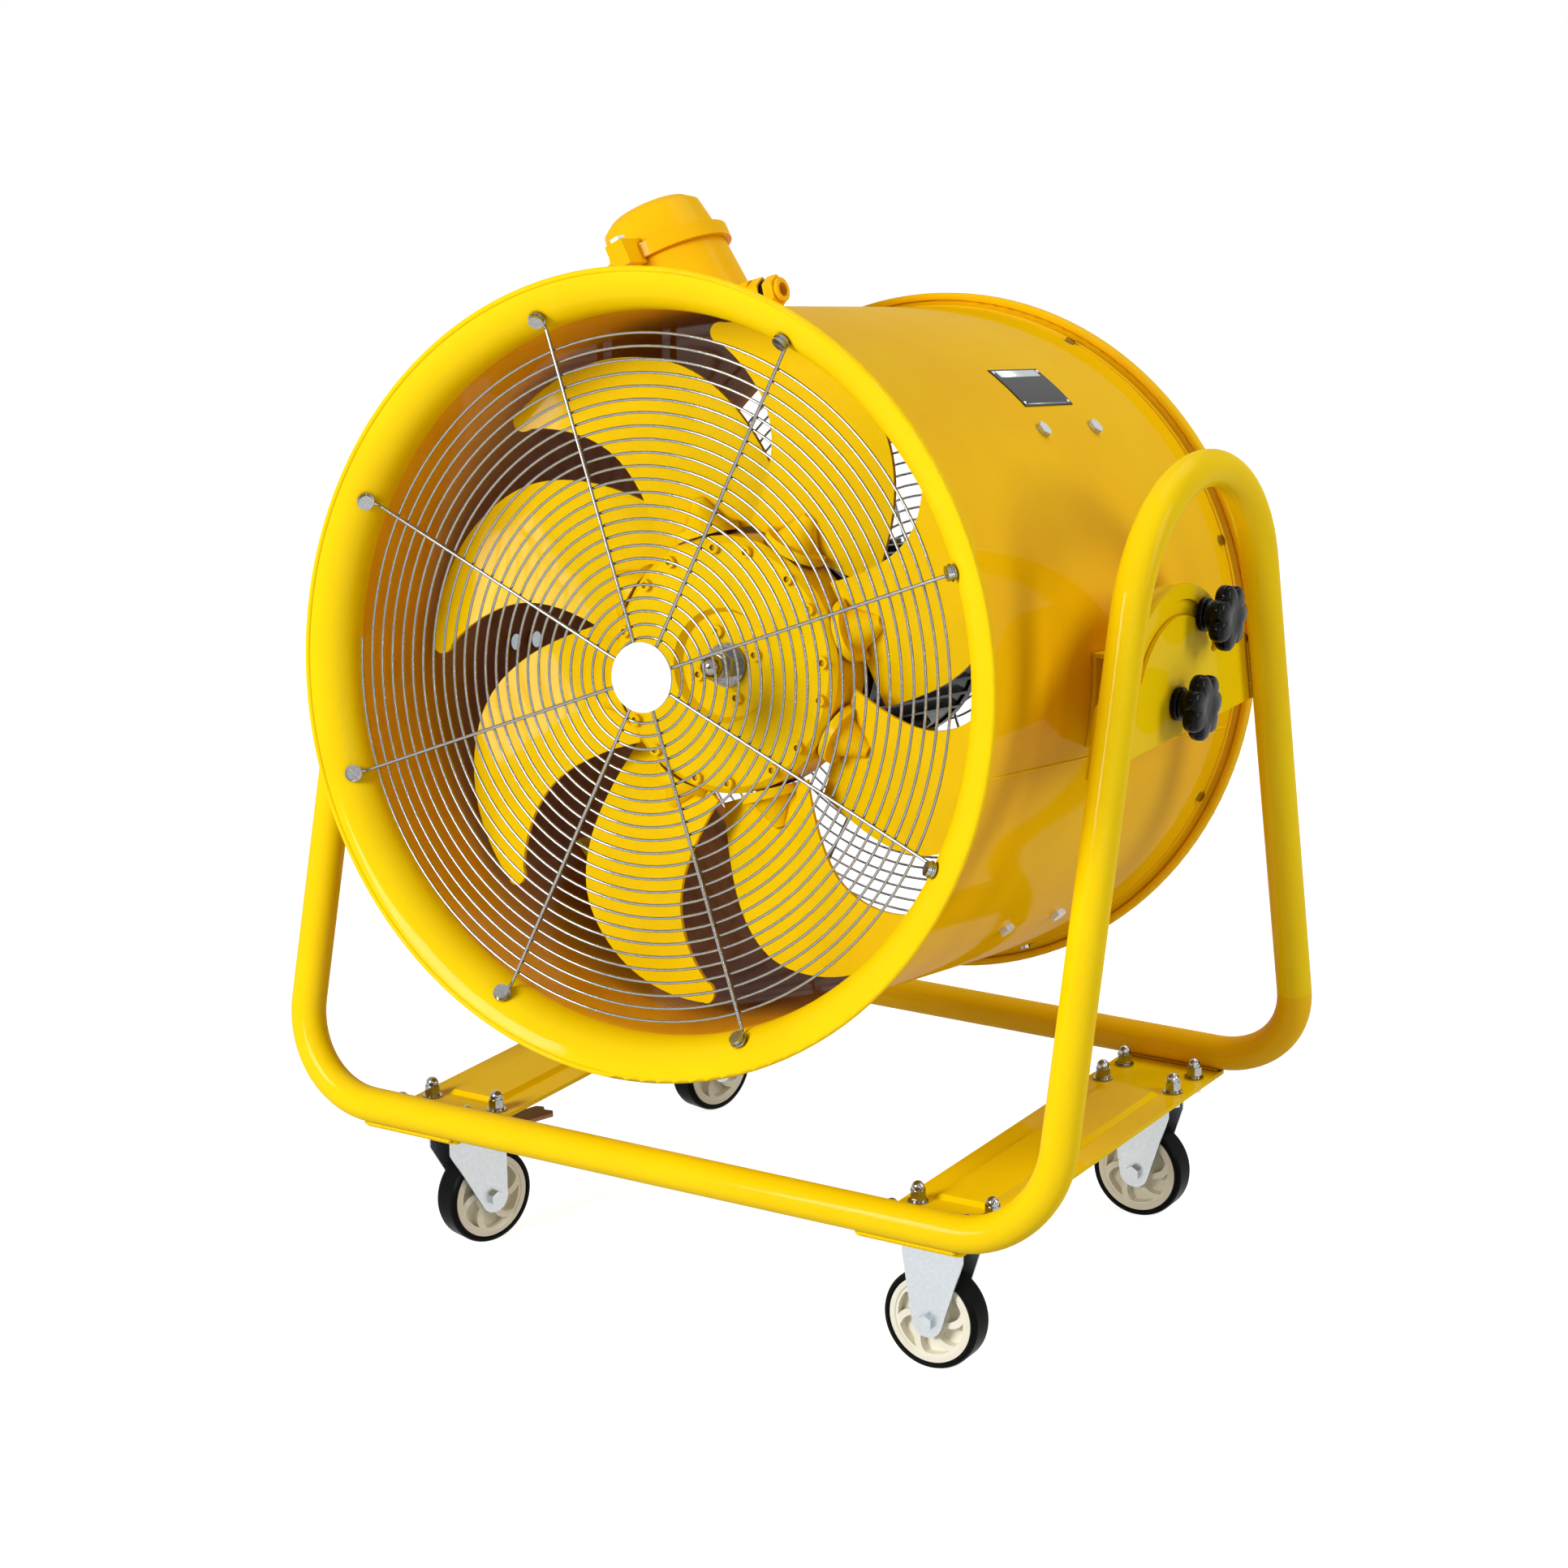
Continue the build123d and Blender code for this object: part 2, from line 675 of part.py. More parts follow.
def spiral(station):
    """One wire wound as a flat spiral of half turns about two centres half a pitch apart."""
    step = WIRE_PITCH / 4
    radius = WIRE_OUTER_R - step - WIRE_TURNS * WIRE_PITCH
    edges = []
    side = 1
    while radius < WIRE_OUTER_R - step:
        centre = side * step
        start = Vector(centre - side * radius, station, 0)
        end = Vector(centre + side * radius, station, 0)
        top = Vector(centre, station, side * radius)
        edges.append(Edge.make_three_point_arc(start, top, end))
        radius += 2 * step
        side = -side
    path = Wire(edges)
    return sweep(Plane(origin=path @ 0, z_dir=path % 0) * Circle(WIRE_R), path=path)


def eye(point, normal):
    """Wire ring round a screw."""
    return Plane(origin=point, z_dir=normal) * Torus(EYE_R, SPOKE_R)


def front_spoke():
    station = GUARD_S - WIRE_R - SPOKE_R
    point, normal = bell_spot(SPOKE_R + SEAT)
    along = Vector(normal.Y, -normal.X, 0)
    near = point + along * EYE_R
    knee = point + along * ((station - point.Y) / along.Y)
    bar = rod((5, station, 0), knee, SPOKE_R) + Pos(knee) * Sphere(SPOKE_R) + rod(knee, near, SPOKE_R)
    return bar + eye(point, normal)


def back_spoke():
    station = BACK_GUARD_S - WIRE_R - SPOKE_R
    point = Vector(DRUM_R - SPOKE_R - SEAT, BACK_SCREW_S, 0)
    near = point - Vector(0, EYE_R, 0)
    knee = Vector(point.X - EYE_R, station, 0)
    bar = rod((5, station, 0), knee, SPOKE_R) + Pos(knee) * Sphere(SPOKE_R) + rod(knee, near, SPOKE_R)
    return bar + eye(point, Vector(1, 0, 0))


def guard_screws():
    """Round-head screws on the lip, and screws with nuts through the wall for the rear guard."""
    thickness = 2 * SPOKE_R + 2 * SEAT
    point, normal = bell_spot(0)
    head_low = point + normal * (thickness + 1.2)
    washer = rod(point + normal * thickness, head_low, 7.5)
    head = rod(head_low, head_low + normal * 3.6, 6.5)
    shank = rod(point - normal * 6, head_low, GUARD_SCREW_R)
    front = washer + head + shank
    spot = Vector(SHELL_R, BACK_SCREW_S, 0)
    inside = Vector(DRUM_R - thickness, BACK_SCREW_S, 0)
    back = rod(spot, spot + Vector(3.0, 0, 0), 4.8) + rod(inside - Vector(5, 0, 0), spot, GUARD_SCREW_R)
    back_nut = nut(inside, (-1, 0, 0), 8.0, GUARD_SCREW_R, 4.0)
    pieces = []
    for number in range(SPOKES):
        angle = SPOKE_ANGLE + 45 * number
        for piece in (front, back, back_nut):
            pieces.append(around(piece, angle))
    return pieces


def drum_parts():
    add("drum_shell", on_drum(drum_shell()))
    add("front_rim", on_drum(front_rim()))
    add("rear_rim", on_drum(rear_rim()))
    add("guard_wires", on_drum(spiral(GUARD_S)))
    add("rear_guard_wires", on_drum(spiral(BACK_GUARD_S)))
    angles = [SPOKE_ANGLE + 45 * number for number in range(SPOKES)]
    add("guard_spokes", *[on_drum(around(front_spoke(), angle)) for angle in angles])
    add("rear_guard_spokes", *[on_drum(around(back_spoke(), angle)) for angle in angles])
    disc_back = GUARD_S - WIRE_R - 2 * SPOKE_R
    add("guard_disc", on_drum(rod((0, disc_back, 0), (0, disc_back - DISC_T, 0), DISC_R)))
    add("guard_screws", *[on_drum(piece) for piece in guard_screws()])


# Tilt brackets, screws and knobs, built on the right-hand side

def dish_face():
    """Outer face of the dish, just inside the trunnion plate."""
    return ARCH_X - TUBE_R - PLATE_T - DISH_GAP


def bracket():
    """Dish with a flat lower edge, held off the drum by two walls on a curved foot."""
    face = dish_face()
    back = face - PLATE_T
    dish = rod((back, 0, 0), (face, 0, 0), DISH_R)
    lip = rod((face - DISH_LIP, 0, 0), (back, 0, 0), DISH_R) - rod(
        (face - DISH_LIP - 1, 0, 0), (back, 0, 0), DISH_R - PLATE_T
    )
    below = Pos(face, 0, -DISH_FLAT) * Box(
        3 * DISH_LIP, 3 * DISH_R, 2 * DISH_R, align=(Align.CENTER, Align.CENTER, Align.MAX)
    )
    middle = (FOOT_FRONT + FOOT_BACK) / 2
    length = FOOT_BACK - FOOT_FRONT
    pad_r = SHELL_R + PLATE_T
    pad = turned([(0, FOOT_FRONT), (pad_r, FOOT_FRONT), (pad_r, FOOT_BACK), (0, FOOT_BACK)])
    foot = pad & (Pos(SHELL_R, middle, 0) * Box(60, length, 2 * FOOT_HALF))
    low_x = SHELL_R - 10
    upper = Polygon(
        (low_x, FOOT_HALF - PLATE_T), (back, FOOT_HALF - PLATE_T), (back, FOOT_HALF), (low_x, FOOT_HALF),
        align=None,
    )
    elbow = SHELL_R + WALL_ELBOW
    lower = Polygon(
        (low_x, -FOOT_HALF), (elbow, -FOOT_HALF), (back, -DISH_FLAT), (back, PLATE_T - DISH_FLAT),
        (elbow, PLATE_T - FOOT_HALF), (low_x, PLATE_T - FOOT_HALF),
        align=None,
    )
    walls = Plane.XZ.offset(-FOOT_BACK) * extrude(upper + lower, length)
    body = (dish + lip - below) + foot + walls - wall_cutter(SHELL_R)
    for spread in (-BRACKET_SPREAD, BRACKET_SPREAD):
        for station in BRACKET_BOLTS:
            body = body - wall_hole(spread, station, BOLT_R + BOLT_CLEAR)
    return body


def clamp_spot():
    """Rest place of the clamp screw, in Y and Z."""
    angle = radians(CLAMP_REST)
    return CLAMP_R * sin(angle), PIVOT_Z + CLAMP_R * cos(angle)


def tilt_screw(y, z):
    """Screw through the dish and the trunnion plate into its knob."""
    face = dish_face()
    head = hexagon((face - PLATE_T - 5, y, z), (face - PLATE_T, y, z), TILT_HEAD_AF)
    end = ARCH_X - TUBE_R + KNOB_REACH - 8
    return head + rod((face - PLATE_T, y, z), (end, y, z), SCREW_R)


def knob(y, z):
    """Star knob with a stepped neck, screwed onto its screw."""
    start = ARCH_X - TUBE_R + KNOB_GAP
    end = ARCH_X - TUBE_R + KNOB_REACH
    head_start = end - KNOB_HEAD_T
    body = rod((start, y, z), (start + KNOB_COLLAR_T, y, z), KNOB_COLLAR_R)
    body = body + rod((start + KNOB_COLLAR_T, y, z), (head_start, y, z), KNOB_NECK_R)
    lobe_r = 8.0
    outline = Circle(KNOB_R - 5.0)
    for number in range(KNOB_LOBES):
        outline += Rot(0, 0, 360 / KNOB_LOBES * number) * Pos(KNOB_R - lobe_r, 0) * Circle(lobe_r)
    head = Plane(origin=(head_start, y, z), z_dir=(1, 0, 0)) * extrude(outline, KNOB_HEAD_T)
    dome_r = 3 * KNOB_R
    cap = Pos(end - dome_r, y, z) * Sphere(dome_r)
    head = head & cap
    bore = rod((start - 1, y, z), (end - 6, y, z), SCREW_R + RUNNING)
    return body + head - bore


def tilt_parts():
    right = bracket()
    left = around(bracket(), 180)
    for name, shape in (("right", right), ("left", left)):
        holes = on_drum(shape)
        side = SIDES[name]
        for y, z in ((0, PIVOT_Z), clamp_spot()):
            holes = holes - rod((side * (SHELL_R + 20), y, z), (side * ARCH_X, y, z), SCREW_R)
        add(f"trunnion_bracket_{name}", holes)
    screws = []
    for y, z in ((0, PIVOT_Z), clamp_spot()):
        screw = tilt_screw(y, z)
        screws.extend([screw, mirror(screw, Plane.YZ)])
    add("tilt_screws", *screws)
    for kind, (y, z) in (("pivot", (0, PIVOT_Z)), ("clamp", clamp_spot())):
        piece = knob(y, z)
        add(f"{kind}_knob_right", piece)
        add(f"{kind}_knob_left", mirror(piece, Plane.YZ))


# Motor

def motor_body():
    body = turned([
        (STATOR_BORE_R, MOTOR_BODY_FRONT), (MOTOR_R, MOTOR_BODY_FRONT),
        (MOTOR_R, MOTOR_BODY_BACK), (STATOR_BORE_R, MOTOR_BODY_BACK),
    ])
    length = MOTOR_BODY_BACK - MOTOR_BODY_FRONT - 16
    middle = (MOTOR_BODY_BACK + MOTOR_BODY_FRONT) / 2
    fin_depth = FIN_R - MOTOR_R + 2
    fin = Pos(FIN_R - fin_depth / 2, middle, 0) * Box(fin_depth, length, 3.0)
    pad = Pos((MOTOR_R - 3 + PAD_R) / 2, sum(ARM_BOLTS) / 2, 0) * Box(PAD_R - MOTOR_R + 3, 90.0, 26.0)
    bodies = [body]
    for number in range(FINS):
        angle = (number + 0.5) * 360 / FINS
        if abs((angle % 90) - 45) > 8.5:
            bodies.append(around(fin, angle))
    for quarter in range(4):
        bodies.append(around(pad, 45 + 90 * quarter))
    return bodies[0].fuse(*bodies[1:])


def motor_cover(face, outer, blind):
    """End cover: a turned cup with the shaft's bearing bore."""
    inward = 1 if outer < face else -1
    inner = outer + inward * COVER_DEPTH
    shoulder = outer + (face - outer) * 0.35
    bore = 0 if blind else SHAFT_R + RUNNING
    cover = turned([
        (bore, outer), (MOTOR_R * 0.62, outer), (MOTOR_R * 0.93, shoulder),
        (MOTOR_R + 2, face - inward * COVER_WALL), (MOTOR_R + 2, face), (STATOR_BORE_R, face),
        (STATOR_BORE_R, inner), (bore, inner),
    ])
    if blind:
        deep = outer + inward * COVER_WALL
        cover = cover - rod((0, deep, 0), (0, inner + inward, 0), SHAFT_R + RUNNING)
    return cover


def motor_arm():
    """Flat arm on edge from the motor's pad to a foot bolted to the wall."""
    low = ARM_BOLTS[0] - 14
    high = ARM_BOLTS[1] + 14
    middle = (low + high) / 2
    length = high - low
    inside = turned([(0, low - 5), (DRUM_R, low - 5), (DRUM_R, high + 5), (0, high + 5)])
    core = turned([(0, low - 9), (DRUM_R - ARM_FOOT_T, low - 9), (DRUM_R - ARM_FOOT_T, high + 9), (0, high + 9)])
    foot = (Pos(DRUM_R, middle, 0) * Box(40, length, ARM_FOOT)) & inside
    foot = foot - core
    web = (Pos((PAD_R + DRUM_R) / 2, middle, 0) * Box(DRUM_R - PAD_R, length, ARM_T)) & inside
    arm = foot + web
    for station in ARM_BOLTS:
        window = Pos(DRUM_R - ARM_FOOT_T - 15, station, 0) * Box(30, 22, ARM_T + 1)
        arm = arm - window - rod((DRUM_R - 9, station, 0), (DRUM_R + 1, station, 0), BOLT_R + BOLT_CLEAR)
    return arm


def motor_parts():
    add("motor_body", on_drum(motor_body()))
    add("motor_front_cover", on_drum(motor_cover(MOTOR_BODY_FRONT, MOTOR_FRONT, False)))
    add("motor_rear_cover", on_drum(motor_cover(MOTOR_BODY_BACK, MOTOR_BACK, True)))
    add("motor_arms", *[on_drum(around(motor_arm(), 45 + 90 * quarter)) for quarter in range(4)])


# Impeller

def hub_sockets(shape):
    socket = rod((60, ROOT_S, 0), (HUB_R + 10, ROOT_S, 0), ROOT_R)
    for number in range(BLADES):
        shape = shape - around(socket, BLADE_ANGLE + 45 * number)
    return shape


def hub_bolt_angles():
    for number in range(BLADES):
        for spread in (-HUB_BOLT_SPREAD, HUB_BOLT_SPREAD):
            yield 45 * number - 1 + spread


def hub_half(points, low, high):
    half = hub_sockets(turned(points))
    for angle in hub_bolt_angles():
        hole = rod((HUB_BOLT_CIRCLE, low - 1, 0), (HUB_BOLT_CIRCLE, high + 1, 0), HUB_BOLT_R)
        half = half - around(hole, angle)
    return half


def hub_front():
    floor = HUB_FRONT + BOSS_DEPTH
    points = [
        (SHAFT_R, floor), (BOSS_R, floor), (BOSS_R + 4, HUB_FRONT), (HUB_R - 6, HUB_FRONT),
        (HUB_R, HUB_FRONT + 6), (HUB_R, ROOT_S), (SHAFT_R, ROOT_S),
    ]
    return hub_half(points, HUB_FRONT, ROOT_S)


def hub_rear():
    points = [
        (SHAFT_R, ROOT_S), (HUB_R, ROOT_S), (HUB_R, HUB_BACK - 4), (HUB_R - 4, HUB_BACK), (SHAFT_R, HUB_BACK),
    ]
    return hub_half(points, ROOT_S, HUB_BACK)


def blade_slab(u, offset, slope, camber):
    """Cambered strip across the blade at a distance out from the axis."""
    low, high = -95.0, 175.0
    middle = (low + high) / 2

    def skin(v, extra):
        return Vector(u, offset + slope * v + extra, v)

    upper = [skin(low, BLADE_T / 2), skin(middle, camber + BLADE_T / 2), skin(high, BLADE_T / 2)]
    lower = [skin(low, -BLADE_T / 2), skin(middle, camber - BLADE_T / 2), skin(high, -BLADE_T / 2)]
    return Wire([
        Edge.make_three_point_arc(*upper),
        Edge.make_line(upper[2], lower[2]),
        Edge.make_three_point_arc(*reversed(lower)),
        Edge.make_line(lower[0], upper[0]),
    ])


def blade():
    """Paddle blade along +X: a twisted, cambered sheet cut to its outline, on a round root."""
    root = HUB_R + 1.5
    leading = [(root, -70), (167, -68), (222, -55), (256, -31), (276, 4), (285, 48), (279, 95), (263, 132)]
    trailing = [(246, 126), (234, 92), (207, 61), (166, 46), (root, 44)]
    outline = Line((root, 44), (root, -70))
    outline += Spline(*leading)
    outline += ThreePointArc(leading[-1], (250, 138), trailing[0])
    outline += Spline(*trailing)
    flat = make_face(outline)
    column = Plane.XZ.offset(40) * extrude(flat, 160)
    slab = Solid.make_loft([blade_slab(100, -101.5, -0.42, 6.0), blade_slab(300, -139, -0.09, 5.0)], True)
    sheet = column & slab
    flange = rod((HUB_R + 1, ROOT_S, 0), (HUB_R + 1 + ROOT_FLANGE_T, ROOT_S, 0), ROOT_FLANGE_R)
    stem = rod((72, ROOT_S, 0), (HUB_R + 1, ROOT_S, 0), ROOT_R)
    cone = Plane(origin=(HUB_R + 1 + ROOT_FLANGE_T, ROOT_S, 0), z_dir=(1, 0, 0)) * Cone(
        20.0, 6.0, 26.0, align=MIN_END
    )
    return sheet + flange + stem + cone


def hub_bolts():
    pieces = []
    length = HUB_BACK - HUB_FRONT
    for angle in hub_bolt_angles():
        seat = (HUB_BOLT_CIRCLE, HUB_FRONT, 0)
        head = rod((HUB_BOLT_CIRCLE, HUB_FRONT - 5, 0), seat, HUB_BOLT_HEAD_R)
        key_low = (HUB_BOLT_CIRCLE, HUB_FRONT - 6, 0)
        key = hexagon(key_low, (HUB_BOLT_CIRCLE, HUB_FRONT - 2.5, 0), HUB_BOLT_KEY_AF)
        shank = rod(seat, (HUB_BOLT_CIRCLE, HUB_FRONT + length, 0), HUB_BOLT_R)
        pieces.append(around(head - key + shank, angle))
    floor = HUB_FRONT + BOSS_DEPTH
    for number in range(4):
        head = rod((BOSS_BOLT_CIRCLE, floor - 4.5, 0), (BOSS_BOLT_CIRCLE, floor, 0), BOSS_BOLT_HEAD_R)
        key_low = (BOSS_BOLT_CIRCLE, floor - 5.5, 0)
        key = hexagon(key_low, (BOSS_BOLT_CIRCLE, floor - 2, 0), HUB_BOLT_KEY_AF)
        pieces.append(around(head - key, 23 + 90 * number))
    return pieces


def motor_shaft():
    core_r = STATOR_BORE_R - AIR_GAP
    floor = HUB_FRONT + BOSS_DEPTH
    inner_end = MOTOR_BACK - 12
    return turned([
        (0, floor - SHAFT_STUD), (SHAFT_STUD_R, floor - SHAFT_STUD), (SHAFT_STUD_R, floor - 0.5),
        (SHAFT_R, floor - 0.5), (SHAFT_R, 0),
        (core_r, 0), (core_r, 130), (SHAFT_R, 130), (SHAFT_R, inner_end), (0, inner_end),
    ])


def shaft_nut():
    floor = HUB_FRONT + BOSS_DEPTH
    washer_top = (0, floor - SHAFT_WASHER_T, 0)
    nut_top = (0, floor - SHAFT_NUT_TOP, 0)
    dome_top = (0, floor - SHAFT_DOME_TOP, 0)
    washer = rod((0, floor, 0), washer_top, SHAFT_WASHER_R)
    body = hexagon(washer_top, nut_top, SHAFT_NUT_AF)
    dome = rod(nut_top, dome_top, SHAFT_DOME_R)
    tip = Pos(*dome_top) * Sphere(SHAFT_TIP_R)
    stud = rod((0, floor + 1, 0), (0, floor - SHAFT_STUD, 0), SHAFT_STUD_R)
    shoulder = rod((0, floor + 1, 0), (0, floor - 0.5, 0), SHAFT_R)
    return [washer - stud - shoulder, body + dome + tip - stud]


def impeller_parts():
    add("hub_front", on_drum(hub_front()))
    add("hub_rear", on_drum(hub_rear()))
    one = blade()
    add("blades", *[on_drum(around(one, BLADE_ANGLE + 45 * number)) for number in range(BLADES)])
    add("hub_bolts", *[on_drum(piece) for piece in hub_bolts()])
    add("motor_shaft", on_drum(motor_shaft()))
    add("shaft_nut", *[on_drum(piece) for piece in shaft_nut()])


# Wiring, built along +X and then turned to its place

def on_wall(shape):
    """Place a piece built along +X at the junction box's angle and station."""
    return on_drum(around(Pos(0, BOX_S, 0) * shape, BOX_ANGLE))


def box_turned(points):
    """Solid turned about X from (radius, height above the wall) points."""
    lifted = [(SHELL_R + height, radius) for radius, height in points]
    return revolve(make_face(Polyline(*lifted, close=True)), Axis.X)


def wall_cutter(radius):
    return turned([(0, -150), (radius, -150), (radius, 150), (0, 150)])


def with_ears(body, low, high):
    """Add two bolted lugs on opposite sides of the flange."""
    start, end = SHELL_R + low, SHELL_R + high
    length = EAR_OUTSIDE - EAR_INSIDE
    for side in (-1, 1):
        middle = side * (EAR_OUTSIDE + EAR_INSIDE) / 2
        body = body + Pos((start + end) / 2, middle, 0) * Box(end - start, length, EAR_WIDTH)
    for side in (-1, 1):
        offset = side * EAR_OFFSET
        body = body - rod((start - 8, offset, 0), (end + 8, offset, 0), BOLT_R)
    return body


def gland_axis():
    """Start of the gland at the box wall and its direction, in box coordinates."""
    dip = radians(GLAND_DIP)
    start = Vector(SHELL_R + GLAND_LIFT, 0, -(BOX_CHAMBER_R - 1))
    return start, Vector(-sin(dip), 0, -cos(dip))


def junction_box():
    split = (BOX_FLANGE_LOW + BOX_FLANGE_HIGH) / 2
    body = box_turned([
        (0, BOX_ROOT), (BOX_BASE_R, BOX_ROOT), (BOX_BASE_R, BOX_BASE_TOP), (BOX_R + 4, BOX_NECK),
        (BOX_R, BOX_FLANGE_LOW), (BOX_FLANGE_R, BOX_FLANGE_LOW), (BOX_FLANGE_R, split), (0, split),
    ])
    body = with_ears(body, EAR_LOW, split)
    chamber = box_turned([
        (0, BOX_FLOOR), (BOX_CHAMBER_R, BOX_FLOOR), (BOX_CHAMBER_R, split + 1), (0, split + 1),
    ])
    start, along = gland_axis()
    port = rod(start - along * 4, start + along * 40, GLAND_NIPPLE_R)
    socket = rod(start, start + along * GLAND_SEAT, GLAND_SOCKET_R)
    body = body + (socket - wall_cutter(SHELL_R + 1))
    recess = rod(start + along * GLAND_SEAT, start + along * 60, GLAND_RECESS_R)
    return body - chamber - wall_cutter(SHELL_R) - port - recess


def junction_cover():
    split = (BOX_FLANGE_LOW + BOX_FLANGE_HIGH) / 2
    body = box_turned([
        (0, split), (BOX_FLANGE_R, split), (BOX_FLANGE_R, BOX_FLANGE_HIGH), (BOX_CAP_BASE_R, BOX_FLANGE_HIGH),
        (BOX_CAP_TOP_R + 3, BOX_TOP - 7), (BOX_CAP_TOP_R - 6, BOX_TOP), (0, BOX_TOP),
    ])
    body = with_ears(body, split, EAR_HIGH)
    chamber = box_turned([
        (0, split - 1), (CAP_CHAMBER_R, split - 1), (CAP_CHAMBER_R, BOX_TOP - 12), (0, BOX_TOP - 12),
    ])
    return body - chamber


def cable_gland():
    """Gland nipple and hexagon body, the black seal, and the clamping nut."""
    start, along = gland_axis()

    def reach(distance):
        return start + along * distance

    seat = GLAND_SEAT + 0.2
    bore = rod(reach(-5), reach(100), GLAND_BORE_R)
    nipple = rod(reach(2), reach(seat), GLAND_NIPPLE_R)
    seal_low = seat + GLAND_BODY_T
    nut_low = seal_low + GLAND_SEAL_T
    nut_high = GLAND_END - GLAND_RING_T
    body = hexagon(reach(seat), reach(seal_low), GLAND_BODY_AF)
    seal = rod(reach(seal_low), reach(nut_low), GLAND_SEAL_R)
    end_nut = hexagon(reach(nut_low), reach(nut_high), GLAND_NUT_AF)
    end_ring = rod(reach(nut_high), reach(GLAND_END), GLAND_RING_R)
    return [nipple + body - bore, end_nut + end_ring - bore], seal - bore


def nameplate():
    """Thin plate bent to the drum."""
    outer = wall_cutter(SHELL_R + 1.0)
    block = Pos(SHELL_R, PLATE_S, 0) * Box(60, PLATE_LENGTH, PLATE_WIDTH)
    return (block & outer) - wall_cutter(SHELL_R)


def wiring_parts():
    add("junction_box", on_wall(junction_box()))
    add("junction_cover", on_wall(junction_cover()))
    gland, seal = cable_gland()
    add("cable_gland", *[on_wall(piece) for piece in gland])
    add("gland_seal", on_wall(seal))
    add("nameplate", on_drum(around(nameplate(), PLATE_ANGLE)))


# Bolts through the drum wall and the junction box lugs

def shell_bolts():
    pieces = []
    for kind, angle, station in drum_bolt_points():
        if kind == "arm":
            outer, inner = SHELL_R, DRUM_R - ARM_FOOT_T
            head = bolt((outer, station, 0), (-1, 0, 0), outer - inner, BOLT_AF)
            fastener = [head, nut((inner - 0.4, station, 0), (-1, 0, 0), BOLT_AF)]
        else:
            outer, inner = SHELL_R + PLATE_T, DRUM_R - SEAT
            round_head = rod((inner - 4, station, 0), (inner, station, 0), 7.5)
            shank = rod((inner, station, 0), (outer + 7, station, 0), BOLT_R)
            fastener = [round_head + shank, nut((outer + 0.4, station, 0), (1, 0, 0), BOLT_AF)]
        for piece in fastener:
            pieces.append(on_drum(around(piece, angle)))
    top = SHELL_R + EAR_HIGH
    low = SHELL_R + EAR_LOW
    for side in (-1, 1):
        offset = side * EAR_OFFSET
        pieces.append(on_wall(bolt((top, offset, 0), (-1, 0, 0), top - low, BOLT_AF, reach=4.0)))
    return pieces


frame_parts()
for side_name, side_sign in SIDES.items():
    add(f"cross_plate_{side_name}", cross_plate(side_sign))
caster_fastening()
caster_parts()
drum_parts()
tilt_parts()
motor_parts()
impeller_parts()
wiring_parts()
add("shell_bolts", *shell_bolts())

os.makedirs("parts", exist_ok=True)
for node, shape in parts.items():
    export_step(shape, f"parts/{node}.step")
print(len(parts), "nodes")
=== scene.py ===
import json
import math
import bpy
from mathutils import Matrix, Vector


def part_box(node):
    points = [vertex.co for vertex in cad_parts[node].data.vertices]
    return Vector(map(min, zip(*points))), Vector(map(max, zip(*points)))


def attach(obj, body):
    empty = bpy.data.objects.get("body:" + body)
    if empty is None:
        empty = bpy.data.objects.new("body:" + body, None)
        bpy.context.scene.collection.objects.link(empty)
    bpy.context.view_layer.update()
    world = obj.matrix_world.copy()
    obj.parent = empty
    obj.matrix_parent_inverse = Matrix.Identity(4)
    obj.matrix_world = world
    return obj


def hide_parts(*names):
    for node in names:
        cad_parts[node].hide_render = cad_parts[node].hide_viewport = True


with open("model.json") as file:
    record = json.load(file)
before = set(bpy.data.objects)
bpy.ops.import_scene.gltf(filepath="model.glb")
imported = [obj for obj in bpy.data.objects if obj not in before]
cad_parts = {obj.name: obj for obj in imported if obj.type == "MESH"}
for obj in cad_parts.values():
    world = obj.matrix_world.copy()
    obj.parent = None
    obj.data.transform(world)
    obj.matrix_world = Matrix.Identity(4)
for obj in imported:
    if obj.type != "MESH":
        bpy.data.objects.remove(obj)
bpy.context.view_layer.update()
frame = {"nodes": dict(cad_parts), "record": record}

# Camera, solved from the photograph (metres and degrees)
CAMERA_PLACE = (1.67085, -2.81335, 1.33769)
CAMERA_YAW = 30.997
CAMERA_PITCH = 15.482
CAMERA_ROLL = -0.181
FOCAL_PIXELS = 4633.27
PHOTO_PIXELS = 1932
SENSOR_MM = 36.0
FARTHEST_SEEN = 60

# Drum and frame sizes that the added pieces line up with (metres, and degrees for the
# places round the drum; the tilt is in radians)
PIVOT_Z = 0.5525
DRUM_TILT = math.radians(7.32)
SHELL_R = 0.308
DRUM_FRONT = -0.2445
DRUM_BACK = 0.2575
SEAM_ANGLE = -9.5
PLATE_ANGLE = 54.7
PLATE_S = 0.061
PLATE_LENGTH = 0.091
PLATE_WIDTH = 0.048
ARCH_X = 0.384
TUBE_R = 0.016
RAIL_Y = 0.2586
RAIL_Z = 0.150
LEG_LEAN = 0.256
TRUNNION_LOW = 0.5255
TRUNNION_HIGH = 0.5795
CROSS_X = 0.256
CROSS_HALF = 0.051

# The drum's inside is painted in shade where it is nearer its axis than INSIDE_R, and darkest from
# this station back
INSIDE_R = 0.3068
DEEP_STATION = -0.06

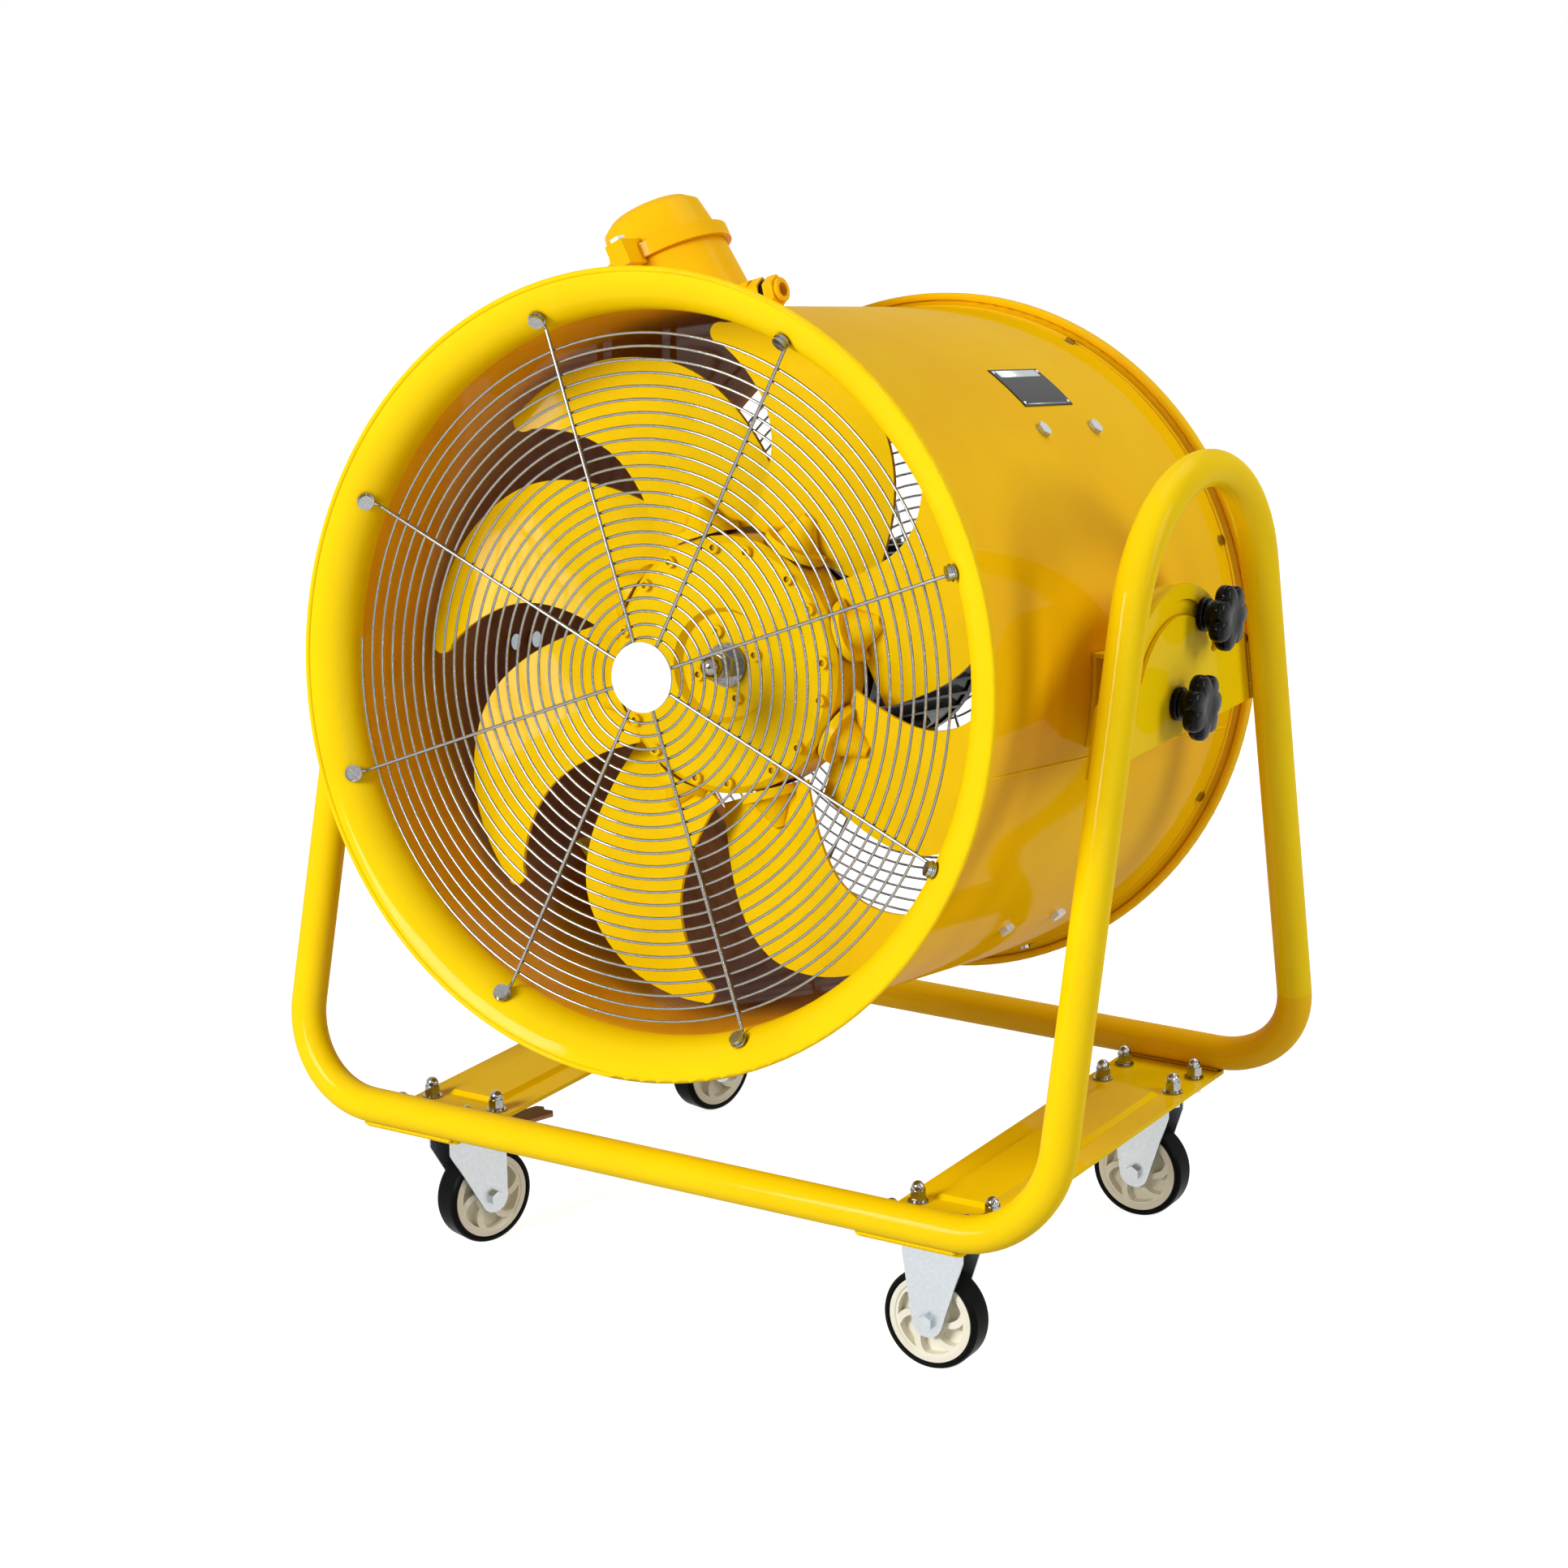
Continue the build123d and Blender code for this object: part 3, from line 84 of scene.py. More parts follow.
# Weld beads, nameplate details and rivets (metres)
SEAM_STEPS = 380
SEAM_BEAD = 0.0012
LEG_BEAD = 0.0019
RAIL_BEAD = 0.0021
BESIDE_LEG = 0.0072
BESIDE_RAIL = 0.0066
HEADER_FOOT = 0.0008
HEADER_TOP = 0.00125
LINE_TOP = 0.00112
HEADER_INSET = 0.008
RIVET_R = 0.0017
RIVET_INSET = 0.004
RIVET_SEAT = 0.0009
RIVET_FLATNESS = 0.6

# Studio (metres and watts)
FLOOR_HALF = 12.0
FLOOR_TONE = 0.55
FLOOR_GLOW = 0.86
FAR_FLOOR_GLOW = 0.95
GLOW_RISES_FROM = 1.0
GLOW_RISES_TO = 4.0
WORLD_LEVEL = 0.12
LAMPS_AIM_AT = (0, 0, 0.5)
LAMPS = [
    # name, place, width, height, power
    ("key", (-1.2, -3.7, 1.9), 1.4, 1.4, 152),
    ("side", (3.4, 0.9, 1.9), 1.2, 2.0, 46),
    ("top", (0.3, 1.2, 3.2), 2.2, 2.2, 36),
    ("strip_near", (2.5, -2.4, 1.1), 0.02, 1.8, 6),
    ("strip_far", (3.0, -1.5, 1.1), 0.02, 1.8, 6),
]


# Node helpers

def new_material(name):
    """Empty node material with its shader and its coordinates in metres."""
    material = bpy.data.materials.new(name)
    material.use_nodes = True
    tree = material.node_tree
    tree.nodes.clear()
    out = tree.nodes.new("ShaderNodeOutputMaterial")
    shader = tree.nodes.new("ShaderNodeBsdfPrincipled")
    tree.links.new(shader.outputs[0], out.inputs[0])
    place = tree.nodes.new("ShaderNodeTexCoord").outputs["Object"]
    return material, tree, shader, place


def noise(tree, place, scale, detail=3.0, roughness=0.5, distortion=0.0):
    node = tree.nodes.new("ShaderNodeTexNoise")
    node.inputs["Scale"].default_value = scale
    node.inputs["Detail"].default_value = detail
    node.inputs["Roughness"].default_value = roughness
    node.inputs["Distortion"].default_value = distortion
    tree.links.new(place, node.inputs["Vector"])
    return node.outputs[0]


def stretched(tree, place, scale):
    node = tree.nodes.new("ShaderNodeMapping")
    node.inputs["Scale"].default_value = scale
    tree.links.new(place, node.inputs[0])
    return node.outputs[0]


def ramp(tree, value, stops):
    """Colour ramp from (place, colour) stops."""
    node = tree.nodes.new("ShaderNodeValToRGB")
    elements = node.color_ramp.elements
    for number, (spot, colour) in enumerate(stops):
        element = elements[number] if number < 2 else elements.new(spot)
        element.position = spot
        element.color = colour
    tree.links.new(value, node.inputs[0])
    return node.outputs[0]


def remap(tree, value, low, high, start=0.0, end=1.0):
    """Turn a value that runs from start to end into low to high."""
    node = tree.nodes.new("ShaderNodeMapRange")
    node.inputs["From Min"].default_value = start
    node.inputs["From Max"].default_value = end
    node.inputs["To Min"].default_value = low
    node.inputs["To Max"].default_value = high
    tree.links.new(value, node.inputs["Value"])
    return node.outputs[0]


def combine(tree, operation, first, second):
    """Math node over two values."""
    node = tree.nodes.new("ShaderNodeMath")
    node.operation = operation
    tree.links.new(first, node.inputs[0])
    tree.links.new(second, node.inputs[1])
    return node.outputs[0]


def bump(tree, shader, height, strength, distance):
    node = tree.nodes.new("ShaderNodeBump")
    node.inputs["Strength"].default_value = strength
    node.inputs["Distance"].default_value = distance
    tree.links.new(height, node.inputs["Height"])
    tree.links.new(node.outputs[0], shader.inputs["Normal"])


def grey(level):
    return (level, level, level, 1)


def drum_place(tree, place):
    """Distance from the drum's tilted axis, and station along it."""
    moved = tree.nodes.new("ShaderNodeVectorMath")
    moved.operation = "SUBTRACT"
    moved.inputs[1].default_value = (0, 0, PIVOT_Z)
    tree.links.new(place, moved.inputs[0])
    turned = tree.nodes.new("ShaderNodeVectorRotate")
    turned.rotation_type = "X_AXIS"
    turned.inputs["Angle"].default_value = DRUM_TILT
    tree.links.new(moved.outputs[0], turned.inputs["Vector"])
    flat = tree.nodes.new("ShaderNodeVectorMath")
    flat.operation = "MULTIPLY"
    flat.inputs[1].default_value = (1, 0, 1)
    tree.links.new(turned.outputs[0], flat.inputs[0])
    length = tree.nodes.new("ShaderNodeVectorMath")
    length.operation = "LENGTH"
    tree.links.new(flat.outputs[0], length.inputs[0])
    apart = tree.nodes.new("ShaderNodeSeparateXYZ")
    tree.links.new(turned.outputs[0], apart.inputs[0])
    return length.outputs["Value"], apart.outputs["Y"]


def crevices(tree, reach):
    """1 in the open, falling to 0 in corners and round bolt heads."""
    node = tree.nodes.new("ShaderNodeAmbientOcclusion")
    node.samples = CREVICE_SAMPLES
    node.inputs["Distance"].default_value = reach
    return node.outputs["AO"]


def choose(tree, pick, first, second):
    """First colour where pick is 0, second where it is 1."""
    node = tree.nodes.new("ShaderNodeMix")
    node.data_type = "RGBA"
    tree.links.new(pick, node.inputs["Factor"])
    tree.links.new(first, node.inputs["A"])
    tree.links.new(second, node.inputs["B"])
    return node.outputs["Result"]


# Materials

# Painted shade: dark brown that the enamel takes in corners, creases and round bolt heads
CREVICE_SHADE_LOW = (0.34, 0.12, 0.006, 1)
CREVICE_SHADE_HIGH = (0.48, 0.19, 0.01, 1)
YELLOW = ((0.93, 0.61, 0.002, 1), (0.96, 0.66, 0.003, 1))
# Painted shade: the same yellow enamel made more orange for the junction box, rear rail and drum
BOX_SHADED_YELLOW = ((0.93, 0.49, 0.002, 1), (0.96, 0.55, 0.003, 1))
DRUM_SHADED_YELLOW = ((0.93, 0.51, 0.002, 1), (0.96, 0.56, 0.003, 1))
CREVICE_SAMPLES = 6


def enamel(name, grain, grain_depth, shade_reach, tones=YELLOW):
    """Thick gloss enamel: orange peel, slight changes of tone, painted shade in corners and round
    bolt heads, and a clear coat.
    """
    material, tree, shader, place = new_material(name)
    tone = noise(tree, place, 9.0, 4.0)
    clean = ramp(tree, tone, [(0.3, tones[0]), (0.7, tones[1])])
    crevice_shade = ramp(tree, tone, [(0.3, CREVICE_SHADE_LOW), (0.7, CREVICE_SHADE_HIGH)])
    # Painted shade: the colour turns to that brown where ambient occlusion finds corners
    open_part = ramp(tree, crevices(tree, shade_reach), [(0.25, grey(0)), (0.72, grey(1))])
    colour = choose(tree, open_part, crevice_shade, clean)
    tree.links.new(colour, shader.inputs["Base Color"])
    peel = noise(tree, place, grain, 2.0)
    tree.links.new(remap(tree, tone, 0.22, 0.30), shader.inputs["Roughness"])
    bump(tree, shader, peel, 0.10, grain_depth)
    shader.inputs["Specular IOR Level"].default_value = 0.0
    shader.inputs["Coat Weight"].default_value = 0.11
    shader.inputs["Coat Roughness"].default_value = 0.06
    return material


def drum_enamel():
    """Enamel on the drum: gloss yellow outside, shaded more orange as painted shade, and painted
    shade inside, orange at the mouth and dark brown further back, mottled at random.
    """
    material = enamel("drum_enamel", 420.0, 0.0004, 0.004, DRUM_SHADED_YELLOW)
    tree = material.node_tree
    shader = next(node for node in tree.nodes if node.type == "BSDF_PRINCIPLED")
    place = tree.nodes.new("ShaderNodeTexCoord").outputs["Object"]
    outside = shader.inputs["Base Color"].links[0].from_socket
    # Painted shade inside the drum: orange at the mouth, dark brown from DEEP_STATION back, mottled
    # at random
    dust = noise(tree, place, 14.0, 5.0, 0.6)
    mouth_shade = ramp(tree, dust, [(0.3, (0.86, 0.40, 0.012, 1)), (0.7, (0.94, 0.48, 0.02, 1))])
    deep_shade = ramp(tree, dust, [(0.3, (0.30, 0.095, 0.012, 1)), (0.7, (0.40, 0.15, 0.02, 1))])
    radius, station = drum_place(tree, place)
    deep = remap(tree, station, 0.0, 1.0, DRUM_FRONT, DEEP_STATION)
    inside = choose(tree, deep, mouth_shade, deep_shade)
    edge = tree.nodes.new("ShaderNodeMath")
    edge.operation = "LESS_THAN"
    edge.inputs[1].default_value = INSIDE_R
    tree.links.new(radius, edge.inputs[0])
    tree.links.new(choose(tree, edge.outputs[0], outside, inside), shader.inputs["Base Color"])
    return material


def zinc():
    """Zinc-plated steel: pale and slightly blue, with fine cloudy grain."""
    material, tree, shader, place = new_material("zinc_steel")
    cloud = noise(tree, place, 320.0, 5.0, 0.6)
    colour = ramp(tree, cloud, [(0.25, (0.46, 0.50, 0.53, 1)), (0.75, (0.56, 0.60, 0.63, 1))])
    tree.links.new(colour, shader.inputs["Base Color"])
    tree.links.new(remap(tree, cloud, 0.28, 0.42), shader.inputs["Roughness"])
    bump(tree, shader, cloud, 0.08, 0.0002)
    shader.inputs["Metallic"].default_value = 1.0
    return material


def chrome(name, low, high):
    """Polished nickel-chrome with faint wiping marks."""
    material, tree, shader, place = new_material(name)
    marks = noise(tree, place, 500.0, 4.0)
    colour = ramp(tree, marks, [(0.3, grey(low)), (0.7, grey(high))])
    tree.links.new(colour, shader.inputs["Base Color"])
    tree.links.new(remap(tree, marks, 0.06, 0.16), shader.inputs["Roughness"])
    shader.inputs["Metallic"].default_value = 1.0
    return material


def wheel_plastic():
    """Cream moulded plastic with a fine skin."""
    material, tree, shader, place = new_material("wheel_plastic")
    skin = noise(tree, place, 600.0, 3.0)
    tint = noise(tree, place, 40.0, 2.0)
    colour = ramp(tree, tint, [(0.3, (0.80, 0.76, 0.62, 1)), (0.7, (0.86, 0.82, 0.69, 1))])
    tree.links.new(colour, shader.inputs["Base Color"])
    tree.links.new(remap(tree, skin, 0.32, 0.45), shader.inputs["Roughness"])
    bump(tree, shader, skin, 0.06, 0.0002)
    shader.inputs["Specular IOR Level"].default_value = 0.3
    return material


def rubber(name, level, rough):
    """Black rubber with dust in its grain."""
    material, tree, shader, place = new_material(name)
    grain = noise(tree, place, 900.0, 4.0)
    colour = ramp(tree, grain, [(0.35, grey(level)), (0.8, grey(level * 1.6))])
    tree.links.new(colour, shader.inputs["Base Color"])
    tree.links.new(remap(tree, grain, rough, rough + 0.15), shader.inputs["Roughness"])
    bump(tree, shader, grain, 0.12, 0.0003)
    shader.inputs["Specular IOR Level"].default_value = 0.02
    return material


def black_plastic():
    """Glossy black phenolic moulding."""
    material, tree, shader, place = new_material("black_plastic")
    skin = noise(tree, place, 350.0, 4.0)
    colour = ramp(tree, skin, [(0.3, grey(0.0015)), (0.8, grey(0.004))])
    tree.links.new(colour, shader.inputs["Base Color"])
    tree.links.new(remap(tree, skin, 0.10, 0.22), shader.inputs["Roughness"])
    bump(tree, shader, skin, 0.08, 0.0003)
    shader.inputs["Specular IOR Level"].default_value = 0.1
    return material


def pedal_paint():
    """Brown plating on the brake pedals, rubbed on its tread."""
    material, tree, shader, place = new_material("pedal_steel")
    rub = noise(tree, place, 180.0, 5.0, 0.6)
    colour = ramp(tree, rub, [(0.3, (0.16, 0.07, 0.03, 1)), (0.75, (0.30, 0.15, 0.07, 1))])
    tree.links.new(colour, shader.inputs["Base Color"])
    tree.links.new(remap(tree, rub, 0.3, 0.5), shader.inputs["Roughness"])
    shader.inputs["Metallic"].default_value = 0.6
    return material


def motor_paint():
    """Black gloss paint over rough cast iron."""
    material, tree, shader, place = new_material("motor_black")
    cast = noise(tree, place, 300.0, 5.0, 0.6)
    colour = ramp(tree, cast, [(0.3, grey(0.006)), (0.8, grey(0.015))])
    tree.links.new(colour, shader.inputs["Base Color"])
    tree.links.new(remap(tree, cast, 0.18, 0.32), shader.inputs["Roughness"])
    bump(tree, shader, cast, 0.25, 0.0005)
    shader.inputs["Specular IOR Level"].default_value = 0.25
    return material


def disc_white():
    """White painted disc, bare of any mark."""
    material, tree, shader, place = new_material("disc_white")
    tone = noise(tree, place, 60.0, 3.0)
    colour = ramp(tree, tone, [(0.3, grey(0.82)), (0.7, grey(0.88))])
    tree.links.new(colour, shader.inputs["Base Color"])
    tree.links.new(remap(tree, tone, 0.25, 0.35), shader.inputs["Roughness"])
    return material


def plate_black():
    """Black anodised plate with fine brushing."""
    material, tree, shader, place = new_material("plate_black")
    brush = noise(tree, stretched(tree, place, (2000.0, 60.0, 2000.0)), 1.0, 3.0)
    colour = ramp(tree, brush, [(0.3, grey(0.006)), (0.8, grey(0.016))])
    tree.links.new(colour, shader.inputs["Base Color"])
    tree.links.new(remap(tree, brush, 0.3, 0.45), shader.inputs["Roughness"])
    shader.inputs["Specular IOR Level"].default_value = 0.2
    return material


MATERIALS = {
    "yellow_enamel": enamel("yellow_enamel", 420.0, 0.0004, 0.005),
    "cast_enamel": enamel("cast_enamel", 260.0, 0.0007, 0.007),
    "box_enamel": enamel("box_enamel", 260.0, 0.0007, 0.007, BOX_SHADED_YELLOW),
    "drum_enamel": drum_enamel(),
    "zinc_steel": zinc(),
    "chrome_steel": chrome("chrome_steel", 0.27, 0.37),
    "wire_steel": chrome("wire_steel", 0.25, 0.33),
    "wheel_plastic": wheel_plastic(),
    "tyre_rubber": rubber("tyre_rubber", 0.005, 0.24),
    "black_plastic": black_plastic(),
    "pedal_steel": pedal_paint(),
    "motor_black": motor_paint(),
    "disc_white": disc_white(),
    "plate_black": plate_black(),
    "seal_rubber": rubber("seal_rubber", 0.006, 0.4),
}


# Nodes whose material differs from the rest of their slot: the guard's own wire steel, and the
# yellow enamel in painted shade on the drum, rear rail, junction box, cover and gland
OWN_FINISH = {
    "drum_shell": "drum_enamel",
    "rear_rim": "drum_enamel",
    "guard_wires": "wire_steel",
    "guard_spokes": "wire_steel",
    "frame_rail_rear": "box_enamel",
    "junction_box": "box_enamel",
    "junction_cover": "box_enamel",
    "cable_gland": "box_enamel",
}


def dress_nodes():
    """Give every carried-over part the finish of its slot, or its own."""
    for entry in frame["record"]["subparts"]:
        node = entry["node"]
        mesh = frame["nodes"][node].data
        mesh.materials.clear()
        mesh.materials.append(MATERIALS[OWN_FINISH.get(node, entry["material_slot"])])
        for face in mesh.polygons:
            face.material_index = 0


# Pieces built here

def piece_from(name, points, faces, body, slot):
    """Smooth mesh piece that rides on a body and takes a slot's finish."""
    mesh = bpy.data.meshes.new(name)
    mesh.from_pydata([tuple(point) for point in points], [], faces)
    mesh.update()
    for face in mesh.polygons:
        face.use_smooth = True
    piece = bpy.data.objects.new(name, mesh)
    bpy.context.scene.collection.objects.link(piece)
    mesh.materials.append(MATERIALS[slot])
    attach(piece, body)
    return piece


def drum_point(angle, station, radius):
    """Point about the drum's axis: angle in degrees from +X, station along the axis, radius."""
    turn = math.radians(angle)
    x = radius * math.cos(turn)
    up = radius * math.sin(turn)
    y = station * math.cos(DRUM_TILT) + up * math.sin(DRUM_TILT)
    z = PIVOT_Z - station * math.sin(DRUM_TILT) + up * math.cos(DRUM_TILT)
    return Vector((x, y, z))


def ring_quads(low, sides):
    """Faces between the ring of points that starts at low and the ring after it."""
    quads = []
    for corner in range(sides):
        following = (corner + 1) % sides
        quads.append((low + corner, low + following, low + sides + following, low + sides + corner))
    return quads


def ring_fan(low, sides, tip):
    """Faces between a ring of points and one point."""
    return [(low + corner, low + (corner + 1) % sides, tip) for corner in range(sides)]


def bead_rings(path, radius, ripple, pitch, sides=8):
    """Tube round a path whose thickness rises and falls along it, as a run of weld does."""
    points, faces = [], []
    run = 0.0
    for number, spot in enumerate(path):
        before = path[max(number - 1, 0)]
        after = path[min(number + 1, len(path) - 1)]
        ahead = (after - before).normalized()
        side = ahead.orthogonal().normalized()
        over = ahead.cross(side)
        if number:
            run += (spot - before).length
        ends = min(number, len(path) - 1 - number)
        taper = min(1.0, 0.35 + 0.25 * ends)
        swell = radius * taper * (1 + ripple * math.sin(math.tau * run / pitch))
        for corner in range(sides):
            turn = math.tau * corner / sides
            points.append(spot + swell * (side * math.cos(turn) + over * math.sin(turn)))
        if number:
            faces.extend(ring_quads((number - 1) * sides, sides))
    faces.append(tuple(range(sides - 1, -1, -1)))
    faces.append(tuple(range(len(points) - sides, len(points))))
    return points, faces


def straight(start, end, step=0.0011):
    """Evenly spaced points from start to end."""
    start, end = Vector(start), Vector(end)
    count = max(8, round((end - start).length / step))
    return [start.lerp(end, number / count) for number in range(count + 1)]


def merge(parts):
    """Join several (points, faces) pairs into one."""
    points, faces = [], []
    for more_points, more_faces in parts:
        shift = len(points)
        points.extend(more_points)
        faces.extend(tuple(shift + corner for corner in face) for face in more_faces)
    return points, faces


def add_seam():
    """Weld along the rolled drum, where its sheet closes."""
    path = [
        drum_point(SEAM_ANGLE, DRUM_FRONT + (DRUM_BACK - DRUM_FRONT) * number / SEAM_STEPS, SHELL_R)
        for number in range(SEAM_STEPS + 1)
    ]
    points, faces = bead_rings(path, SEAM_BEAD, 0.22, 0.0042)
    piece_from("drum_seam", points, faces, "drum", "yellow_enamel")


def leg_y(z):
    """How far forward or back the arch's leg is at a height."""
    return RAIL_Y - LEG_LEAN * (z - RAIL_Z)


def add_frame_welds():
    """Welds of the trunnion plates to the legs, and of the rails to the cross plates."""
    runs = []
    plate_face = ARCH_X - TUBE_R + 0.0008
    under_rail = RAIL_Z - TUBE_R + 0.0006
    for side in (-1, 1):
        for end in (-1, 1):
            low = (side * plate_face, end * (leg_y(TRUNNION_LOW) - BESIDE_LEG), TRUNNION_LOW)
            high = (side * plate_face, end * (leg_y(TRUNNION_HIGH) - BESIDE_LEG), TRUNNION_HIGH)
            runs.append(bead_rings(straight(low, high), LEG_BEAD, 0.16, 0.0044))
            for edge in (-1, 1):
                y = end * RAIL_Y + edge * BESIDE_RAIL
                start = (side * CROSS_X - CROSS_HALF + 0.003, y, under_rail)
                stop = (side * CROSS_X + CROSS_HALF - 0.003, y, under_rail)
                runs.append(bead_rings(straight(start, stop), RAIL_BEAD, 0.16, 0.0046))
    points, faces = merge(runs)
    piece_from("frame_welds", points, faces, "frame", "yellow_enamel")


def curved_label(angle_low, angle_high, station_low, station_high, foot, height):
    """Thin raised sheet that follows the drum, closed on its top, sides and ends, and open
    underneath.
    """
    rows, columns = 10, 2
    points, faces = [], []
    for level in (foot, height):
        for row in range(rows + 1):
            angle = angle_low + (angle_high - angle_low) * row / rows
            for column in range(columns):
                station = (station_low, station_high)[column]
                points.append(drum_point(angle, station, SHELL_R + level))
    layer = (rows + 1) * columns
    for row in range(rows):
        low = layer + row * columns
        faces.append((low, low + 1, low + 3, low + 2))
        left, right = row * columns, row * columns + 1
        faces.append((left, left + layer, left + columns + layer, left + columns))
        faces.append((right, right + columns, right + columns + layer, right + layer))
    last = rows * columns
    faces.append((0, 1, layer + 1, layer))
    faces.append((last, last + layer, last + layer + 1, last + 1))
    return points, faces


def add_plate_details():
    """Bare silver header strip and thin line on the nameplate, and its four rivets."""
    half = math.degrees(PLATE_WIDTH / 2 / SHELL_R)
    mm = math.degrees(0.001 / SHELL_R)
    left, right = PLATE_S - PLATE_LENGTH / 2, PLATE_S + PLATE_LENGTH / 2
    low, high = PLATE_ANGLE - half, PLATE_ANGLE + half
    ends = (left + HEADER_INSET, right - HEADER_INSET)
    strips = [
        curved_label(high - 11 * mm, high - 2.2 * mm, *ends, HEADER_FOOT, HEADER_TOP),
        curved_label(low + 2 * mm, low + 2.5 * mm, *ends, HEADER_FOOT, LINE_TOP),
    ]
    points, faces = merge(strips)
    piece_from("plate_header", points, faces, "drum", "zinc_steel")
    rivets = []
    for angle in (low + 4 * mm, high - 4 * mm):
        for station in (left + RIVET_INSET, right - RIVET_INSET):
            rivets.append(dome(angle, station, RIVET_R))
    points, faces = merge(rivets)
    piece_from("plate_rivets", points, faces, "drum", "zinc_steel")


def dome(angle, station, radius, rings=5, sides=16):
    """Low round rivet head on the drum."""
    base = drum_point(angle, station, SHELL_R + RIVET_SEAT)
    out = (drum_point(angle, station, 1.0) - base).normalized()
    side = out.orthogonal().normalized()
    over = out.cross(side)
    points, faces = [], []
    for ring in range(rings):
        rise = math.pi / 2 * ring / rings
        for corner in range(sides):
            turn = math.tau * corner / sides
            reach = radius * math.cos(rise)
            points.append(
                base + out * (RIVET_FLATNESS * radius * math.sin(rise))
                + side * (reach * math.cos(turn)) + over * (reach * math.sin(turn))
            )
        if ring:
            faces.extend(ring_quads((ring - 1) * sides, sides))
    faces.extend(ring_fan((rings - 1) * sides, sides, len(points)))
    points.append(base + out * (RIVET_FLATNESS * radius))
    return points, faces


KNOB_PROFILE = [
    # along the axis, radius in the hollows, radius on the lobes (metres)
    (0.0003, 0.0125, 0.0125), (0.0003, 0.0138, 0.0138), (0.0012, 0.0146, 0.0146),
    (0.0052, 0.0146, 0.0146), (0.0062, 0.0138, 0.0138), (0.0066, 0.0122, 0.0122),
    (0.0076, 0.0118, 0.0118), (0.0122, 0.0118, 0.0118), (0.0146, 0.0124, 0.0126),
    (0.0158, 0.0150, 0.0160), (0.0164, 0.0192, 0.0225), (0.0172, 0.0212, 0.0265),
    (0.0190, 0.0222, 0.0284), (0.0220, 0.0226, 0.0290), (0.0260, 0.0226, 0.0290),
    (0.0284, 0.0220, 0.0282), (0.0300, 0.0206, 0.0262), (0.0309, 0.0180, 0.0228),
    (0.0314, 0.0140, 0.0168), (0.0311, 0.0100, 0.0108), (0.0306, 0.0070, 0.0070),
    (0.0305, 0.0030, 0.0030),
]
KNOB_LOBES = 7
POINTS_PER_LOBE = 20
LOBE_FULLNESS = 0.75


def add_knob(name, side):
    """Seven-lobed moulded knob with rounded edges, a waist and a collar."""
    low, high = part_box(name)
    centre = (Vector(low) + Vector(high)) / 2
    seat = side * (ARCH_X - TUBE_R)
    around = KNOB_LOBES * POINTS_PER_LOBE
    points, faces = [], []
    for ring, (along, hollow, lobe) in enumerate(KNOB_PROFILE):
        for corner in range(around):
            turn = math.tau * corner / around
            wave = abs(math.cos(KNOB_LOBES * turn / 2)) ** LOBE_FULLNESS
            reach = hollow + (lobe - hollow) * wave
            y = centre.y + reach * math.cos(turn)
            z = centre.z + reach * math.sin(turn)
            points.append(Vector((seat + side * along, y, z)))
        if ring:
            faces.extend(ring_quads((ring - 1) * around, around))
    faces.extend(ring_fan((len(KNOB_PROFILE) - 1) * around, around, len(points)))
    points.append(Vector((seat + side * KNOB_PROFILE[-1][0], centre.y, centre.z)))
    if side < 0:
        faces = [face[::-1] for face in faces]
    piece = piece_from(name + "_moulding", points, faces, name, "black_plastic")
    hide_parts(name)


def add_knobs():
    for kind in ("pivot", "clamp"):
        for side_name, side in (("left", -1), ("right", 1)):
            add_knob(f"{kind}_knob_{side_name}", side)


# Camera and studio

def camera_axes():
    """Right, up and ahead of the camera."""
    yaw = math.radians(CAMERA_YAW)
    pitch = math.radians(CAMERA_PITCH)
    roll = math.radians(CAMERA_ROLL)
    ahead = Vector((
        -math.sin(yaw) * math.cos(pitch), math.cos(yaw) * math.cos(pitch), -math.sin(pitch)
    ))
    right = Vector((math.cos(yaw), math.sin(yaw), 0))
    up = right.cross(ahead)
    level_right = right * math.cos(roll) + up * math.sin(roll)
    level_up = up * math.cos(roll) - right * math.sin(roll)
    return level_right, level_up, ahead


def add_camera():
    right, up, ahead = camera_axes()
    data = bpy.data.cameras.new("camera")
    data.sensor_width = SENSOR_MM
    data.sensor_fit = "HORIZONTAL"
    data.lens = FOCAL_PIXELS / PHOTO_PIXELS * SENSOR_MM
    data.clip_end = FARTHEST_SEEN
    camera = bpy.data.objects.new("camera", data)
    turn = Matrix((right, up, -ahead)).transposed().to_4x4()
    camera.matrix_world = Matrix.Translation(CAMERA_PLACE) @ turn
    bpy.context.scene.collection.objects.link(camera)
    bpy.context.scene.camera = camera


def lamp(name, place, width, height, power):
    """Rectangular lamp that faces the middle of the blower."""
    data = bpy.data.lights.new(name, "AREA")
    data.shape = "RECTANGLE"
    data.size = width
    data.size_y = height
    data.energy = power
    light = bpy.data.objects.new(name, data)
    light.location = place
    toward = Vector(LAMPS_AIM_AT) - Vector(place)
    light.rotation_euler = toward.to_track_quat("-Z", "Y").to_euler()
    bpy.context.scene.collection.objects.link(light)


def seen_directly(tree):
    """1 for rays from the camera, a mirror or glass, which see a white background."""
    rays = tree.nodes.new("ShaderNodeLightPath").outputs
    straight_or_mirrored = combine(tree, "MAXIMUM", rays["Is Camera Ray"], rays["Is Glossy Ray"])
    return combine(tree, "MAXIMUM", straight_or_mirrored, rays["Is Transmission Ray"])


